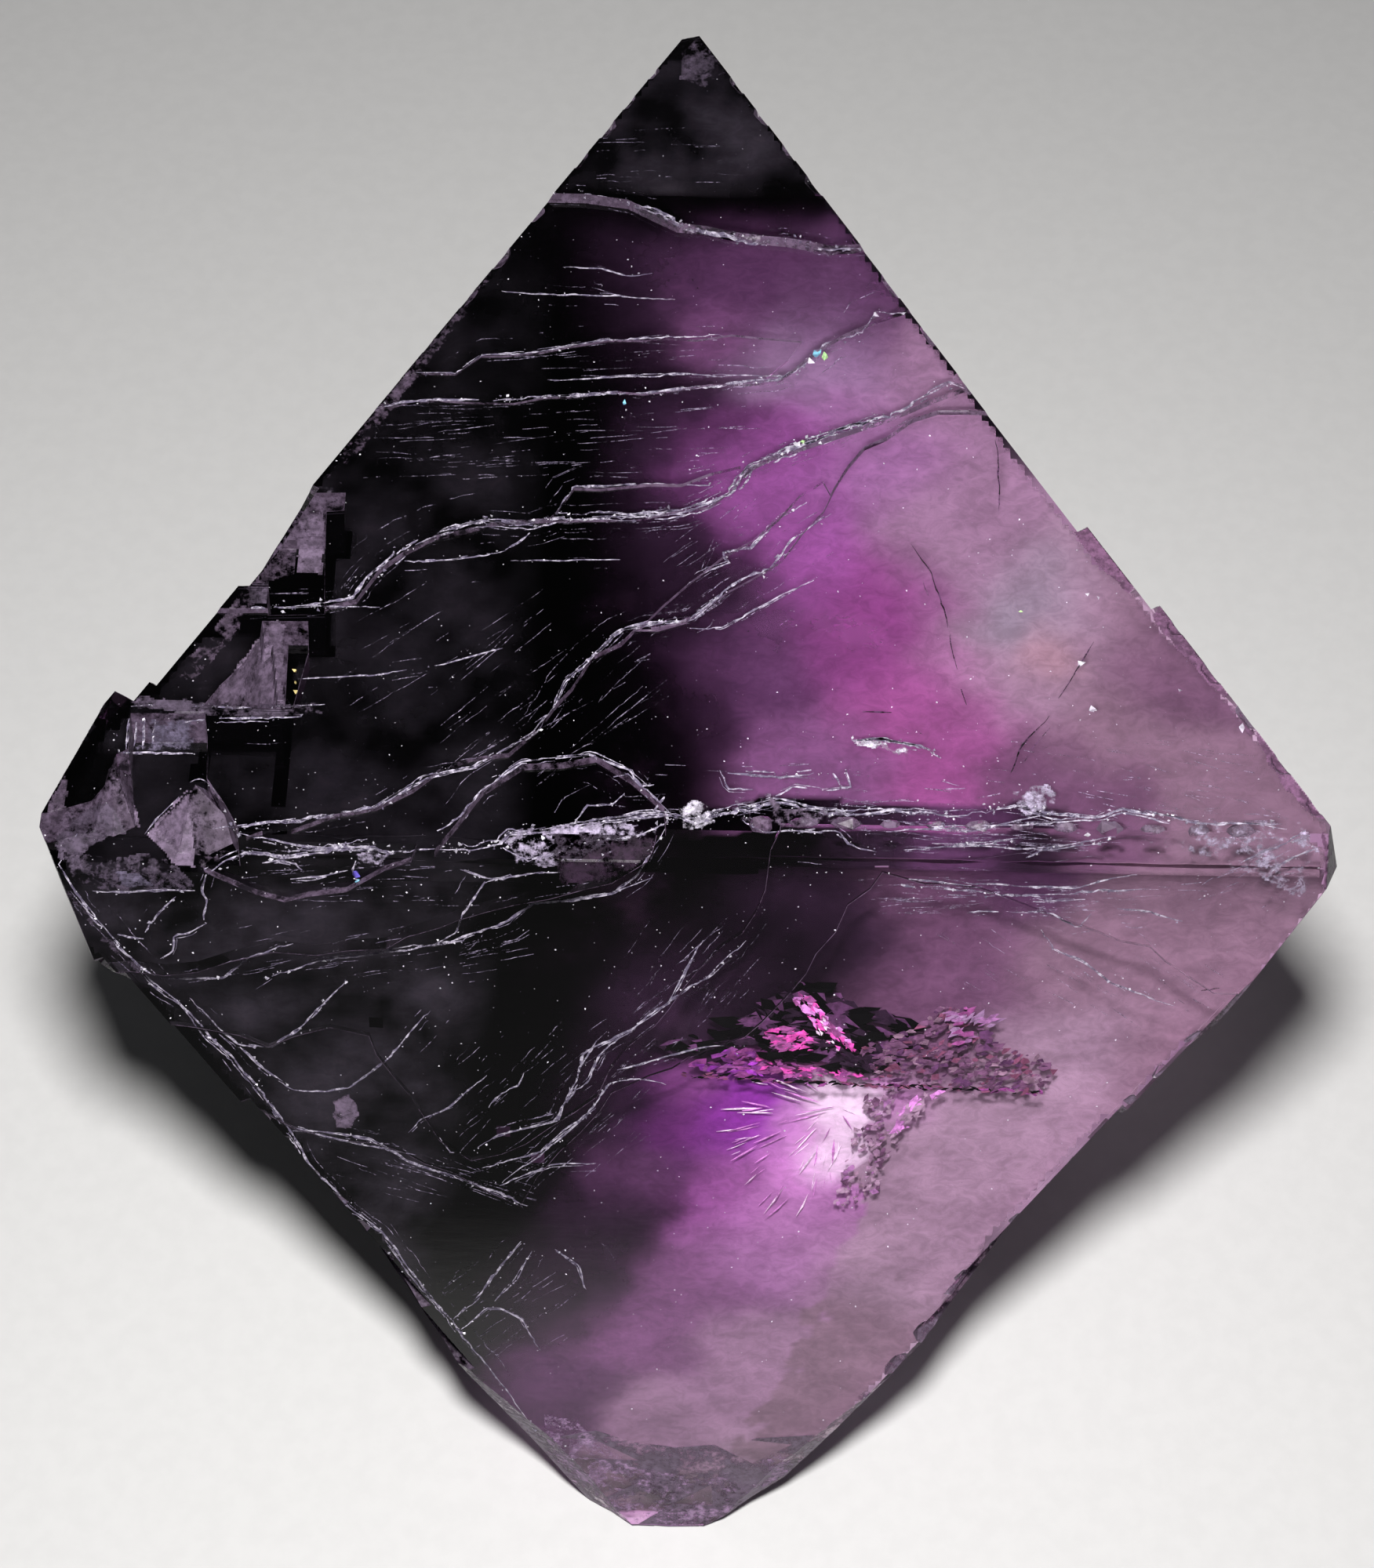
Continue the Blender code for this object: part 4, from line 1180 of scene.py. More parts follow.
SHARD_FIELDS: tuple[ShardField, ...] = (
    ShardField((Tint.BLACK, Tint.BLACK, Tint.SOOT, Tint.DUSK), 200, 0.42, -12.0, ((-1.1, 1.6), (0.7, 2.1),
        (2.0, 3.0), (3.1, 4.0), (4.2, 4.0), (5.4, 3.1), (7.0, 2.3), (5.8, 0.5), (3.9, 0.9), (2.3, 1.7),
        (0.7, 1.4)), 2.62),
    ShardField((Tint.RUST, Tint.SHADE, Tint.SHADE, Tint.HAZE, Tint.SHADE, Tint.DUSK, Tint.SHADE), 420, 0.15,
        22.0, ((5.2, 1.6), (6.3, 2.2), (7.4, 3.2), (8.0, 3.5), (8.6, 2.6), (9.3, 1.7), (10.8, 1.3),
        (10.9, 0.7), (10.4, 0.0), (8.7, 0.1), (7.1, 0.3), (5.8, 0.4)), 2.55, 0.6),
    ShardField((Tint.VIOLET, Tint.LILAC, Tint.ROSE), 40, 0.20, 30.0, ((7.4, 3.2), (8.3, 3.4), (9.1, 2.9),
        (8.8, 2.5), (8.2, 2.7), (8.5, 2.0), (8.1, 1.8), (7.7, 2.4))),
    ShardField((Tint.DEEP, Tint.ULTRA, Tint.ORCHID, Tint.WINE), 80, 0.20, 6.0, ((0.1, 0.7), (1.2, 1.4),
        (2.0, 1.7), (2.3, 1.2), (2.7, 0.5), (1.4, 0.5)), 2.5),
    # The hot pink fields are partly the fracture's colour and partly painted highlight; their near-white
    # flakes are painted sparkles
    ShardField((Tint.HOT_PINK, Tint.ROSE, Tint.WINE), 90, 0.16, -6.0, ((2.2, 1.5), (2.8, 1.2), (3.7, 0.9),
        (4.9, 0.8), (5.9, 0.4), (5.3, 0.4), (3.9, 0.5), (2.8, 0.5), (2.3, 0.8)), 2.45),
    ShardField((Tint.BLACK,), 40, 0.20, 0.0, ((2.3, 1.7), (3.0, 1.7), (3.8, 1.6), (3.9, 1.2), (3.2, 1.1),
        (2.5, 1.2)), 2.35),
    ShardField((Tint.BLACK, Tint.SOOT), 30, 0.18, -30.0, ((4.7, 1.6), (5.2, 1.4), (5.6, 0.7), (5.1, 0.7),
        (4.7, 1.1)), 2.35),
    ShardField((Tint.HOT_PINK, Tint.ROSE, Tint.HOT_PINK), 70, 0.17, 8.0, ((2.4, 2.3), (2.9, 2.5), (3.6, 2.3),
        (3.8, 1.9), (3.7, 1.6), (3.0, 1.6), (2.5, 1.7)), 2.3),
    ShardField((Tint.HOT_PINK, Tint.ROSE, Tint.BLOOM), 80, 0.17, -46.0, ((3.2, 3.8), (3.6, 3.7), (4.0, 3.1),
        (4.5, 2.5), (5.1, 1.6), (4.9, 1.7), (4.3, 2.2), (3.8, 2.6), (3.6, 3.1), (3.3, 3.4)), 2.3),
    ShardField((Tint.GLOW, Tint.HOT_PINK), 14, 0.10, -40.0, ((3.8, 3.0), (4.1, 2.9), (4.7, 1.7), (4.6, 1.6),
        (3.9, 2.4)), 2.2),
    ShardField((Tint.BLACK, Tint.WINE, Tint.RUST, Tint.BLACK), 170, 0.13, -3.0, ((0.1, 0.66), (3.0, 0.46),
        (6.0, 0.36), (10.6, 0.20), (10.6, 0.05), (6.0, 0.20), (3.0, 0.30), (0.1, 0.50)), 2.3, 0.3),
    ShardField((Tint.SHADE, Tint.MAUVE, Tint.HAZE, Tint.MILK, Tint.VIOLET), 150, 0.14, 62.0, ((5.3, 0.1),
        (6.5, 0.2), (6.3, -1.2), (6.6, -1.8), (6.0, -4.1), (5.1, -5.1), (4.6, -5.3), (5.0, -3.1),
        (5.1, -1.8), (5.5, -1.2)), 2.6, 0.6),
    ShardField((Tint.BLOOM, Tint.MILK), 34, 0.18, 50.0, ((6.3, -0.9), (7.4, 0.2), (7.7, 0.1), (6.8, -1.5),
        (6.3, -1.8))),
    # Painted light: slim near-white streaks that fan out from the painted pool of light, as its rays
    ShardField((Tint.GLOW, Tint.BLOOM), 70, 0.42, 0.0, ((1.6, 0.2), (5.2, 0.2), (5.1, -3.2), (4.6, -5.4),
        (2.4, -5.0), (1.4, -2.4)), 2.8, 0.05, (4.7, -0.9)),
)


@dataclass
class Fracture:
    """Broken inner edge above the rest face, with rusty and dark flakes and hot pink ones that are partly
    painted highlight.
    """

    fields: tuple[ShardField, ...] = SHARD_FIELDS
    thickness: float = 0.012 * MM
    uneven: float = 0.03
    dice: random.Random = field(default_factory=lambda: random.Random(5))

    def shard(self, patch: ShardField, across: float, up: float) -> bmesh.types.BMesh:
        """Cuts one flake.

        Args:
            patch: the field it belongs to.
            across: where it lies, in millimetres.
            up: where it lies, in millimetres.

        Returns:
            Its mesh, in the frame.
        """
        piece = bmesh.new()
        bmesh.ops.create_circle(piece, cap_ends=True, segments=self.dice.choice((3, 4, 5)), radius=1.0)
        for vert in piece.verts:
            vert.co *= self.dice.uniform(0.6, 1.3)
        long = patch.size * self.dice.uniform(0.4, 1.5)
        heading = math.radians(patch.heading + self.dice.gauss(0.0, 22.0))
        if patch.fan:
            heading = math.atan2(up - patch.fan[1], across - patch.fan[0]) + self.dice.gauss(0.0, 0.12)
        turn = Matrix.Rotation(heading, 4, "Z") @ Matrix.Rotation(self.dice.gauss(0.0, 0.14), 4, "X")
        size = Matrix.Diagonal((long * MM, long * MM * patch.slim * self.dice.uniform(0.6, 1.4), MM, 1.0))
        level = self.dice.uniform(-self.uneven, self.uneven) - patch.depth
        place = Matrix.Translation((across * MM, up * MM, level * MM))
        bmesh.ops.transform(piece, matrix=Plane.FRONT.matrix @ place @ turn @ size, verts=piece.verts[:])
        thicken(piece, self.thickness)
        return piece

    def build(self) -> bpy.types.Object:
        """Fills the fields with flakes.

        Returns:
            The flakes, in one mesh.
        """
        whole = bmesh.new()
        spans: list[tuple[int, Vector]] = []
        for patch in self.fields:
            sides, heights = limits(patch.outline)
            made = 0
            while made < patch.count:
                across, up = self.dice.uniform(*sides), self.dice.uniform(*heights)
                if not within(patch.outline, across, up):
                    continue
                made += 1
                count = join(whole, self.shard(patch, across, up))
                spans.append((count, self.dice.choice(patch.tints).linear * self.dice.uniform(0.78, 1.2)))
        paint(whole, spans)
        finish = TonedFinish("fracture_stone", roughness=0.6, specular=0.1)
        return add_piece(whole, "fracture_flakes", finish.material())


def join(whole: bmesh.types.BMesh, part: bmesh.types.BMesh) -> int:
    """Adds one mesh to another, and frees it.

    Args:
        whole: the mesh that grows.
        part: the mesh that is added.

    Returns:
        How many corners were added.
    """
    mesh = bpy.data.meshes.new("part")
    part.to_mesh(mesh)
    part.free()
    whole.from_mesh(mesh)
    count = len(mesh.vertices)
    bpy.data.meshes.remove(mesh)
    return count


def thicken(bm: bmesh.types.BMesh, thickness: float) -> None:
    """Gives an open sheet a back, so that it is closed.

    Args:
        bm: the sheet.
        thickness: how far the back lies behind the front.
    """
    bmesh.ops.recalc_face_normals(bm, faces=bm.faces[:])
    bm.normal_update()
    ways = {vert: vert.normal.copy() for vert in bm.verts}
    front_side = list(ways)
    drawn = bmesh.ops.extrude_face_region(bm, geom=bm.faces[:])
    moved = [item for item in drawn["geom"] if isinstance(item, bmesh.types.BMVert)]
    for vert, old in zip(moved, front_side):
        vert.co -= ways[old] * thickness if (vert.co - old.co).length < 1e-9 else vert.normal * thickness
    bmesh.ops.recalc_face_normals(bm, faces=bm.faces[:])


def paint(bm: bmesh.types.BMesh, spans: list[tuple[int, Vector]]) -> None:
    """Gives each run of corners its tone.

    Args:
        bm: the mesh.
        spans: how many corners each part has and its linear colour, in the order the parts were added.
    """
    tones = bm.verts.layers.float_color.new("tone")
    colours = [colour for count, colour in spans for _ in range(count)]
    for vert, colour in zip(bm.verts, colours):
        vert[tones] = (*colour, 1.0)


@dataclass(frozen=True)
class StepLine:
    """A frosty line along a cleavage step, as points in millimetres on its face.

    The band is the width over which its strands and crumbs scatter. Crumbs are counted for each millimetre.
    """

    plane: Plane
    points: Points
    band: float = 0.10
    strands: int = 2
    crumbs: float = 3.0
    hairs: int = 4
    dark: bool = False


def top(*points: tuple[float, float], **sizes: float) -> StepLine:
    """A step line on the top face."""
    return StepLine(Plane.TOP, points, **sizes)


def front(*points: tuple[float, float], **sizes: float) -> StepLine:
    """A step line on the front face, given as (across, down from the sharp ridge)."""
    return StepLine(Plane.FRONT, below_ridge(points), **sizes)


def crack(*points: tuple[float, float], hairs: int = 0) -> StepLine:
    """A thin dark crack on the top face."""
    return top(*points, band=0.03, strands=1, crumbs=0, hairs=hairs, dark=True)


STEP_LINES: tuple[StepLine, ...] = (
    top((-5.2, 12.8), (-4.8, 13.2), (-3.6, 13.2), (-2.1, 13.0), (-1.2, 12.6), (-0.4, 12.0), (1.0, 11.7),
        (1.7, 11.4), (2.7, 11.6), (4.1, 11.2), (5.1, 11.3), band=0.20, strands=4, crumbs=12, hairs=8),
    top((-4.0, 10.3), (-2.9, 10.3), (-2.1, 10.0), (-1.3, 10.1), band=0.05, strands=1),
    top((-5.8, 9.3), (-4.4, 9.2), (-2.3, 9.2), (-0.6, 9.1), band=0.05, strands=1),
    top((-8.2, 6.1), (-7.0, 6.1), (-6.3, 6.8), (-5.2, 6.9), (-3.8, 7.2), (-2.5, 7.5), (1.1, 7.8), band=0.07,
        crumbs=4),
    top((-9.5, 4.7), (-8.5, 5.0), (-6.0, 5.1), (-3.4, 5.4), (-1.3, 5.5), (1.1, 5.9), (2.5, 6.1), (3.2, 6.7),
        (3.9, 7.5), (5.0, 8.0), (5.4, 8.8), (6.7, 8.8), band=0.14, strands=3, crumbs=7, hairs=10),
    top((-4.3, 5.9), (-0.7, 6.2), (2.7, 6.2), band=0.06),
    top((8.0, 5.9), (7.5, 6.1), (6.6, 5.4), (5.7, 4.8), (4.6, 4.4), (3.0, 3.6), (1.7, 2.9), (1.1, 1.9),
        (0.5, 1.5), (-0.3, 1.1), (-1.5, 1.0), (-3.9, 0.9), (-4.6, 0.6), (-6.1, 0.7), (-7.3, 0.2),
        (-8.2, -0.4), (-8.9, -1.1), (-9.5, -2.1), (-10.7, -2.4), (-12.3, -2.5), band=0.17, strands=5,
        crumbs=14, hairs=26),
    top((-3.9, 1.0), (-3.6, 1.6), (-3.4, 2.0), (-0.3, 2.2), (0.5, 2.1), band=0.07),
    top((-4.6, 0.3), (-5.3, -0.4), (-6.9, -0.7), (-8.1, -0.8), band=0.07),
    top((-5.1, -0.7), (-2.0, -0.6), band=0.04, strands=1),
    top((3.8, 1.1), (2.9, 0.2), (2.3, -0.7), (1.1, -1.5), (0.0, -2.6), (-1.2, -2.8), (-1.9, -3.0),
        (-2.7, -3.9), (-3.4, -4.8), (-3.7, -5.6), (-4.2, -6.5), (-5.7, -7.6), (-7.1, -8.0), (-8.4, -9.0),
        (-9.6, -9.3), (-12.7, -9.8), band=0.15, strands=4, crumbs=7, hairs=16),
    top((0.0, -2.9), (0.9, -2.9), (2.6, -1.7), (3.5, -1.2), band=0.06),
    top((-0.1, -1.4), (0.3, -1.0), (1.1, -0.6), (0.9, -0.3), (1.7, -0.1), (2.5, 1.0), (3.3, 1.6), band=0.08,
        crumbs=4),
    top((-6.7, -9.7), (-6.1, -9.3), (-5.6, -8.4), (-4.5, -7.5), (-2.6, -7.2), (-1.6, -7.7), (-0.5, -9.0),
        band=0.13, strands=3, crumbs=6, hairs=6),
    top((-10.8, -4.9), (-8.8, -4.7), (-6.8, -4.3), (-5.2, -3.7), band=0.04, strands=1),
    # Along this step the strands and crumbs are partly frost and partly a painted sheen of light
    top((4.5, -6.6), (5.4, -6.5), (6.4, -6.7), (6.9, -7.1), band=0.14, strands=4, crumbs=14, hairs=3),
    top((1.1, -7.7), (2.4, -7.8), (3.9, -7.6), (4.2, -8.1), band=0.10, crumbs=6),
    top((-6.6, -10.3), (-5.7, -10.3), (-4.9, -10.1), (-4.8, -9.8), (-3.8, -9.7), (-2.9, -9.5), (-1.8, -9.3),
        (-1.0, -9.1), (-0.4, -9.1), (-0.1, -9.2), (0.3, -9.3), (0.9, -9.0), (1.4, -8.9), (2.4, -8.6),
        (2.8, -8.7), (3.7, -8.9), (4.7, -8.9), (5.6, -8.8), (6.7, -8.9), (8.1, -8.8), band=0.17, strands=5,
        crumbs=26, hairs=14),
    top((8.1, -8.8), (9.0, -8.6), (9.8, -8.8), (11.1, -8.9), (11.8, -8.6), (12.8, -8.8), (13.6, -9.0),
        (14.5, -9.0), (15.6, -9.0), (16.2, -9.1), band=0.12, strands=3, crumbs=16, hairs=12),
    top((-12.0, -9.9), (-10.4, -10.3), (-8.3, -10.3), (-7.9, -10.4), (-7.2, -10.3), (-6.6, -10.3), band=0.12,
        strands=3, crumbs=12, hairs=6),
    top((1.5, -9.2), (1.8, -9.4), (2.1, -9.6), (2.8, -9.5), (4.1, -9.5), (4.4, -9.9), (5.1, -10.1),
        band=0.08, crumbs=6),
    top((-4.9, -10.2), (-4.2, -10.6), (-3.4, -10.3), (-2.9, -10.0), (-1.4, -9.8), (-0.5, -9.3), band=0.09,
        crumbs=10),
    top((-3.0, -9.4), (-2.7, -8.8), (-2.0, -8.8), (-1.7, -8.4), band=0.06, crumbs=4),
    top((-2.0, -7.9), (-1.6, -7.8), (-1.3, -8.2), (-0.9, -8.1), band=0.06, crumbs=4),
    top((-0.9, -9.0), (-0.6, -8.5), band=0.05),
    top((-2.4, -10.8), (-2.3, -10.5), (-2.1, -10.3), (-1.9, -10.2), band=0.05),
    top((-6.0, -10.9), (-5.2, -11.2), (-4.0, -11.0), (-3.3, -10.9), band=0.06),
    top((-4.2, -11.9), (-2.8, -11.8), (-1.9, -11.5), (-1.3, -11.0), (-0.8, -10.0), (-0.6, -9.5), band=0.07,
        crumbs=4),
    top((0.9, -7.6), (1.1, -8.2), (1.8, -8.2), band=0.06, crumbs=5),
    top((2.4, -8.4), (2.9, -8.1), (3.8, -8.2), (4.5, -8.1), (4.3, -7.5), band=0.07, crumbs=6),
    crack((6.2, 0.3), (6.8, -0.8), (7.2, -2.4), (7.4, -4.0), (7.7, -5.3), hairs=1),
    crack((11.3, -3.1), (10.7, -4.2), (9.8, -5.8), (9.1, -6.7), (8.8, -7.5), hairs=1),
    crack((8.8, 4.0), (8.9, 2.3), (8.7, 0.6)),
    front((-16.6, 1.6), (-15.7, 3.1), (-14.7, 4.8), (-13.9, 5.6), (-13.2, 6.9), (-12.7, 7.5), (-11.7, 9.3),
        (-11.1, 10.6), (-10.7, 11.7), (-9.6, 13.5), (-8.7, 14.5), (-7.9, 16.2), (-6.8, 18.2), (-5.8, 20.1),
        (-4.2, 23.3), band=0.09, strands=3, crumbs=6, hairs=10),
    front((-12.4, 7.2), (-11.8, 8.0), (-11.3, 8.5), band=0.10, crumbs=6),
    front((-11.4, 8.5), (-11.0, 8.8), (-10.1, 8.9), (-9.4, 8.7), (-8.3, 7.6), (-7.9, 7.0), (-7.0, 5.7),
        band=0.08, crumbs=5),
    front((-11.1, 10.4), (-9.9, 10.7), (-8.8, 11.0), (-7.6, 11.3), band=0.07),
    front((5.3, -1.0), (6.8, -1.2), (8.8, -1.3), (11.3, -1.6), band=0.05),
    front((5.8, -0.4), (7.8, -0.6), (9.5, -0.5), (11.2, -0.8), band=0.05),
    front((7.5, 0.7), (9.0, 0.8), (10.5, 0.8), (11.5, 0.4), (12.1, 0.3), band=0.05),
    front((5.8, 0.8), (6.5, 0.9), (7.8, 1.0), (8.8, 1.1), (9.8, 1.1), (11.1, 0.9), (12.3, 0.8), band=0.10,
        crumbs=5),
    front((6.0, 0.6), (7.7, 0.8), band=0.05),
    front((9.4, 1.3), (9.8, 1.3), (10.8, 1.2), band=0.05),
    front((7.7, 1.7), (9.9, 1.7), (10.7, 2.2), (11.0, 1.7), band=0.05),
    front((11.7, 1.5), (12.6, 1.6), (13.5, 1.9), band=0.05),
    front((9.7, 2.3), (10.1, 3.0), (10.9, 3.4), (11.8, 4.2), (12.9, 4.7), (13.6, 5.0), band=0.06),
    front((-9.3, 3.8), (-7.7, 3.5), (-6.3, 3.1), (-4.8, 2.4), (-4.1, 1.7), (-2.0, 1.3), (-0.9, 0.7),
        band=0.09, crumbs=5, hairs=8),
    front((-6.9, 3.3), (-6.2, 2.8), (-6.0, 2.2), (-5.7, 1.6), (-5.4, 1.0), (-4.7, 0.7), band=0.06),
    front((-14.5, 4.7), (-12.7, 4.6), (-11.9, 3.9), (-10.7, 3.3), band=0.09, crumbs=5),
    front((-11.7, 4.7), (-10.0, 3.9), (-8.3, 3.6), (-6.0, 3.1), band=0.09, crumbs=5),
    front((-13.7, 5.4), (-12.9, 6.6), (-12.4, 7.1), (-11.5, 7.2), (-10.5, 6.3), (-9.3, 4.6), band=0.08,
        crumbs=4),
    front((-11.1, 10.3), (-10.0, 10.5), (-8.9, 10.7), (-7.8, 11.6), (-6.7, 12.1), (-5.2, 12.8), (-4.4, 13.3),
        band=0.12, strands=3, crumbs=6, hairs=8),
    front((-7.8, 10.4), (-7.4, 9.9), (-6.6, 9.4), (-6.1, 8.8), (-5.5, 8.1), band=0.06),
    front((-6.9, 10.6), (-6.6, 11.2), (-6.1, 11.2), (-5.3, 10.5), (-3.5, 9.8), (-2.9, 7.9), (-2.4, 6.7),
        band=0.07),
    front((-5.7, 9.7), (-5.1, 8.8), (-4.6, 8.5), (-4.4, 8.0), band=0.05),
    front((-5.7, 11.8), (-4.8, 11.4), (-4.0, 11.1), (-3.4, 10.3), (-2.4, 9.3), band=0.06),
    front((-5.2, 12.5), (-4.4, 12.0), (-3.7, 11.6), (-2.4, 11.5), band=0.06),
    front((-5.1, 10.4), (-3.6, 9.8), (-2.9, 8.3), (-2.8, 7.2), (-1.5, 6.3), (-0.5, 5.3), (0.0, 4.8),
        (0.7, 4.2), (1.7, 2.9), band=0.09, crumbs=5, hairs=8),
    front((-0.4, 5.3), (-0.1, 4.4), (0.5, 2.9), band=0.05),
    front((-3.2, 8.9), (-2.6, 8.2), (-2.3, 7.3), (-1.8, 6.6), (-1.4, 6.3), band=0.06),
    front((-1.8, 7.8), (-0.7, 7.4), (0.2, 7.0), (1.2, 6.8), band=0.05),
    front((-5.1, 12.4), (-4.0, 11.2), (-2.6, 9.5), (-2.0, 8.3), (-1.4, 8.1), (-0.4, 8.3), band=0.08,
        crumbs=5, hairs=6),
    front((-6.7, 18.2), (-5.8, 17.0), (-5.5, 16.3), (-4.6, 14.8), band=0.09, crumbs=5, hairs=6),
    front((-6.5, 18.7), (-5.7, 17.7), (-5.2, 17.7), (-4.6, 18.2), (-4.1, 19.5), band=0.06),
    front((-5.4, 17.4), (-4.8, 16.5), (-4.3, 15.2), band=0.05),
    top((-15.3, -5.9), (-14.0, -5.8), (-12.4, -5.9), (-10.0, -5.7), band=0.06, crumbs=4, hairs=0),
    top((-13.9, -6.4), (-12.5, -6.2), (-11.3, -6.2), (-10.6, -6.1), band=0.10, crumbs=9, hairs=3),
    top((-15.5, -7.4), (-14.6, -7.4), (-13.4, -7.4), band=0.05, crumbs=8, hairs=0),
    top((-14.5, -10.0), (-14.0, -9.2), (-13.4, -8.3), (-13.2, -8.2), band=0.04, strands=1, crumbs=1,
        hairs=0),
    top((-13.2, -8.2), (-12.9, -8.4), (-12.6, -8.9), (-12.2, -9.5), (-12.0, -9.9), band=0.06, crumbs=6,
        hairs=1),
    top((-12.7, -11.2), (-12.3, -10.8), (-11.8, -10.5), (-10.6, -10.6), (-9.7, -10.4), (-8.3, -10.2),
        band=0.16, strands=4, crumbs=10, hairs=8),
    top((-11.3, -10.8), (-10.9, -10.7), (-10.5, -10.8), (-10.2, -11.0), band=0.08, crumbs=4, hairs=2),
    top((-10.5, -11.3), (-9.7, -11.2), (-9.0, -11.0), band=0.07, crumbs=3, hairs=2),
    top((-15.7, -11.8), (-14.7, -11.8), (-13.9, -11.7), (-13.0, -11.7), band=0.05, crumbs=6, hairs=1),
    top((-14.2, -13.0), (-13.8, -12.3), (-13.5, -11.9), band=0.09, crumbs=5, hairs=2),
    top((-14.9, -13.1), (-14.2, -13.2), band=0.07, crumbs=5, hairs=1),
    top((-12.7, -11.1), (-12.8, -11.7), (-12.6, -12.0), (-12.7, -12.6), band=0.10, strands=3, crumbs=5,
        hairs=4),
    top((-12.6, -12.7), (-13.0, -13.0), (-13.4, -13.1), (-13.4, -13.6), (-13.7, -13.8), band=0.06, crumbs=4,
        hairs=1),
    top((-16.7, -11.0), (-15.7, -12.5), (-14.8, -13.5), (-14.1, -14.1), (-13.8, -14.3), band=0.08, crumbs=5,
        hairs=3),
    top((-16.7, -11.0), (-16.5, -10.4), (-16.3, -10.0), band=0.04, strands=1, crumbs=1, hairs=0),
    top((-11.8, -2.5), (-10.5, -2.4), (-8.7, -2.4), band=0.05, crumbs=4, hairs=1),
    top((-8.8, -10.7), (-8.9, -11.0), (-8.7, -11.4), (-8.6, -11.7), band=0.06, crumbs=4, hairs=1),
    front((-3.6, 15.1), (-2.9, 15.8), (-2.7, 16.8), band=0.05),
    front((6.5, -1.2), (7.6, -1.1), (8.6, -1.4), (9.6, -1.7), band=0.05, crumbs=6),
    front((9.1, -0.2), (9.7, -0.6), (10.5, -0.8), (11.4, -1.0), band=0.05, crumbs=6),
    top((6.6, -9.8), (7.9, -9.8), (9.0, -9.6), band=0.05, crumbs=6),
    front((14.9, -0.2), (15.4, -0.6), (16.0, -0.9), (16.3, -1.3), band=0.09, crumbs=9),
    front((15.7, 0.1), (16.2, -0.4), (16.8, -0.7), band=0.09, crumbs=9),
    top((-15.3, -6.3), (-15.3, -7.3), band=0.07, crumbs=8, hairs=2),
    top((-15.1, -6.4), (-15.1, -7.2), band=0.05, crumbs=4, hairs=2),
    top((-14.9, -6.3), (-14.85, -7.3), band=0.05, crumbs=4, hairs=2),
    top((-14.6, -6.3), (-14.6, -7.1), band=0.06, crumbs=6, hairs=2),
    crack((4.8, -5.6), (5.6, -5.6)),
    front((14.3, 4.4), (14.8, 4.3), band=0.03, strands=1, crumbs=0, hairs=0, dark=True),
)


@dataclass(frozen=True)
class HairField:
    """A patch of near-parallel scratches, centred in millimetres on its face."""

    plane: Plane
    across: float
    up: float
    wide: float
    high: float
    heading: float
    count: int
    length: float = 1.6


HAIR_FIELDS: tuple[HairField, ...] = (
    HairField(Plane.TOP, -4.0, 3.6, 4.8, 1.4, 6.0, 60, 2.2),
    HairField(Plane.TOP, -5.0, -4.6, 3.8, 2.4, 42.0, 30, 3.5),
    HairField(Plane.TOP, -1.5, 15.0, 2.6, 1.2, 4.0, 18, 1.4),
    HairField(Plane.TOP, -1.0, 6.9, 3.5, 1.2, 3.0, 24, 1.6),
    HairField(Plane.TOP, 1.5, -0.4, 2.4, 2.0, 38.0, 36, 1.3),
    HairField(Plane.TOP, 12.0, -7.6, 4.0, 1.2, -8.0, 30, 1.4),
    HairField(Plane.TOP, 3.0, -8.2, 4.5, 0.9, -4.0, 30, 1.2),
    HairField(Plane.FRONT, 9.0, 9.2, 4.2, 0.7, 2.0, 70, 1.5),
    HairField(Plane.FRONT, -8.5, 9.2, 3.0, 0.8, 4.0, 30, 1.2),
    HairField(Plane.FRONT, -9.0, 6.6, 4.0, 0.9, 14.0, 34, 1.6),
    HairField(Plane.FRONT, -3.6, 1.2, 2.6, 2.6, 52.0, 44, 1.6),
    HairField(Plane.FRONT, 0.4, 5.8, 1.8, 1.8, 56.0, 26, 1.5),
    HairField(Plane.FRONT, 11.0, 6.6, 3.6, 1.8, -38.0, 34, 1.4),
    HairField(Plane.FRONT, -5.0, -7.4, 1.8, 1.8, 44.0, 30, 1.2),
    HairField(Plane.FRONT, -6.6, -1.8, 2.6, 0.8, -22.0, 28, 1.6),
    HairField(Plane.TOP, 8.0, -9.6, 2.8, 0.5, -2.0, 60, 1.6),
    HairField(Plane.TOP, 13.2, -8.2, 2.6, 1.2, -18.0, 24, 0.9),
    HairField(Plane.FRONT, 15.2, 10.2, 1.5, 0.9, 34.0, 24, 0.9),
)


@dataclass(frozen=True)
class Glint:
    """A splinter whose colour paints a flash of light, as (across, up) in millimetres on its face."""

    plane: Plane
    across: float
    up: float
    size: float
    tint: Tint
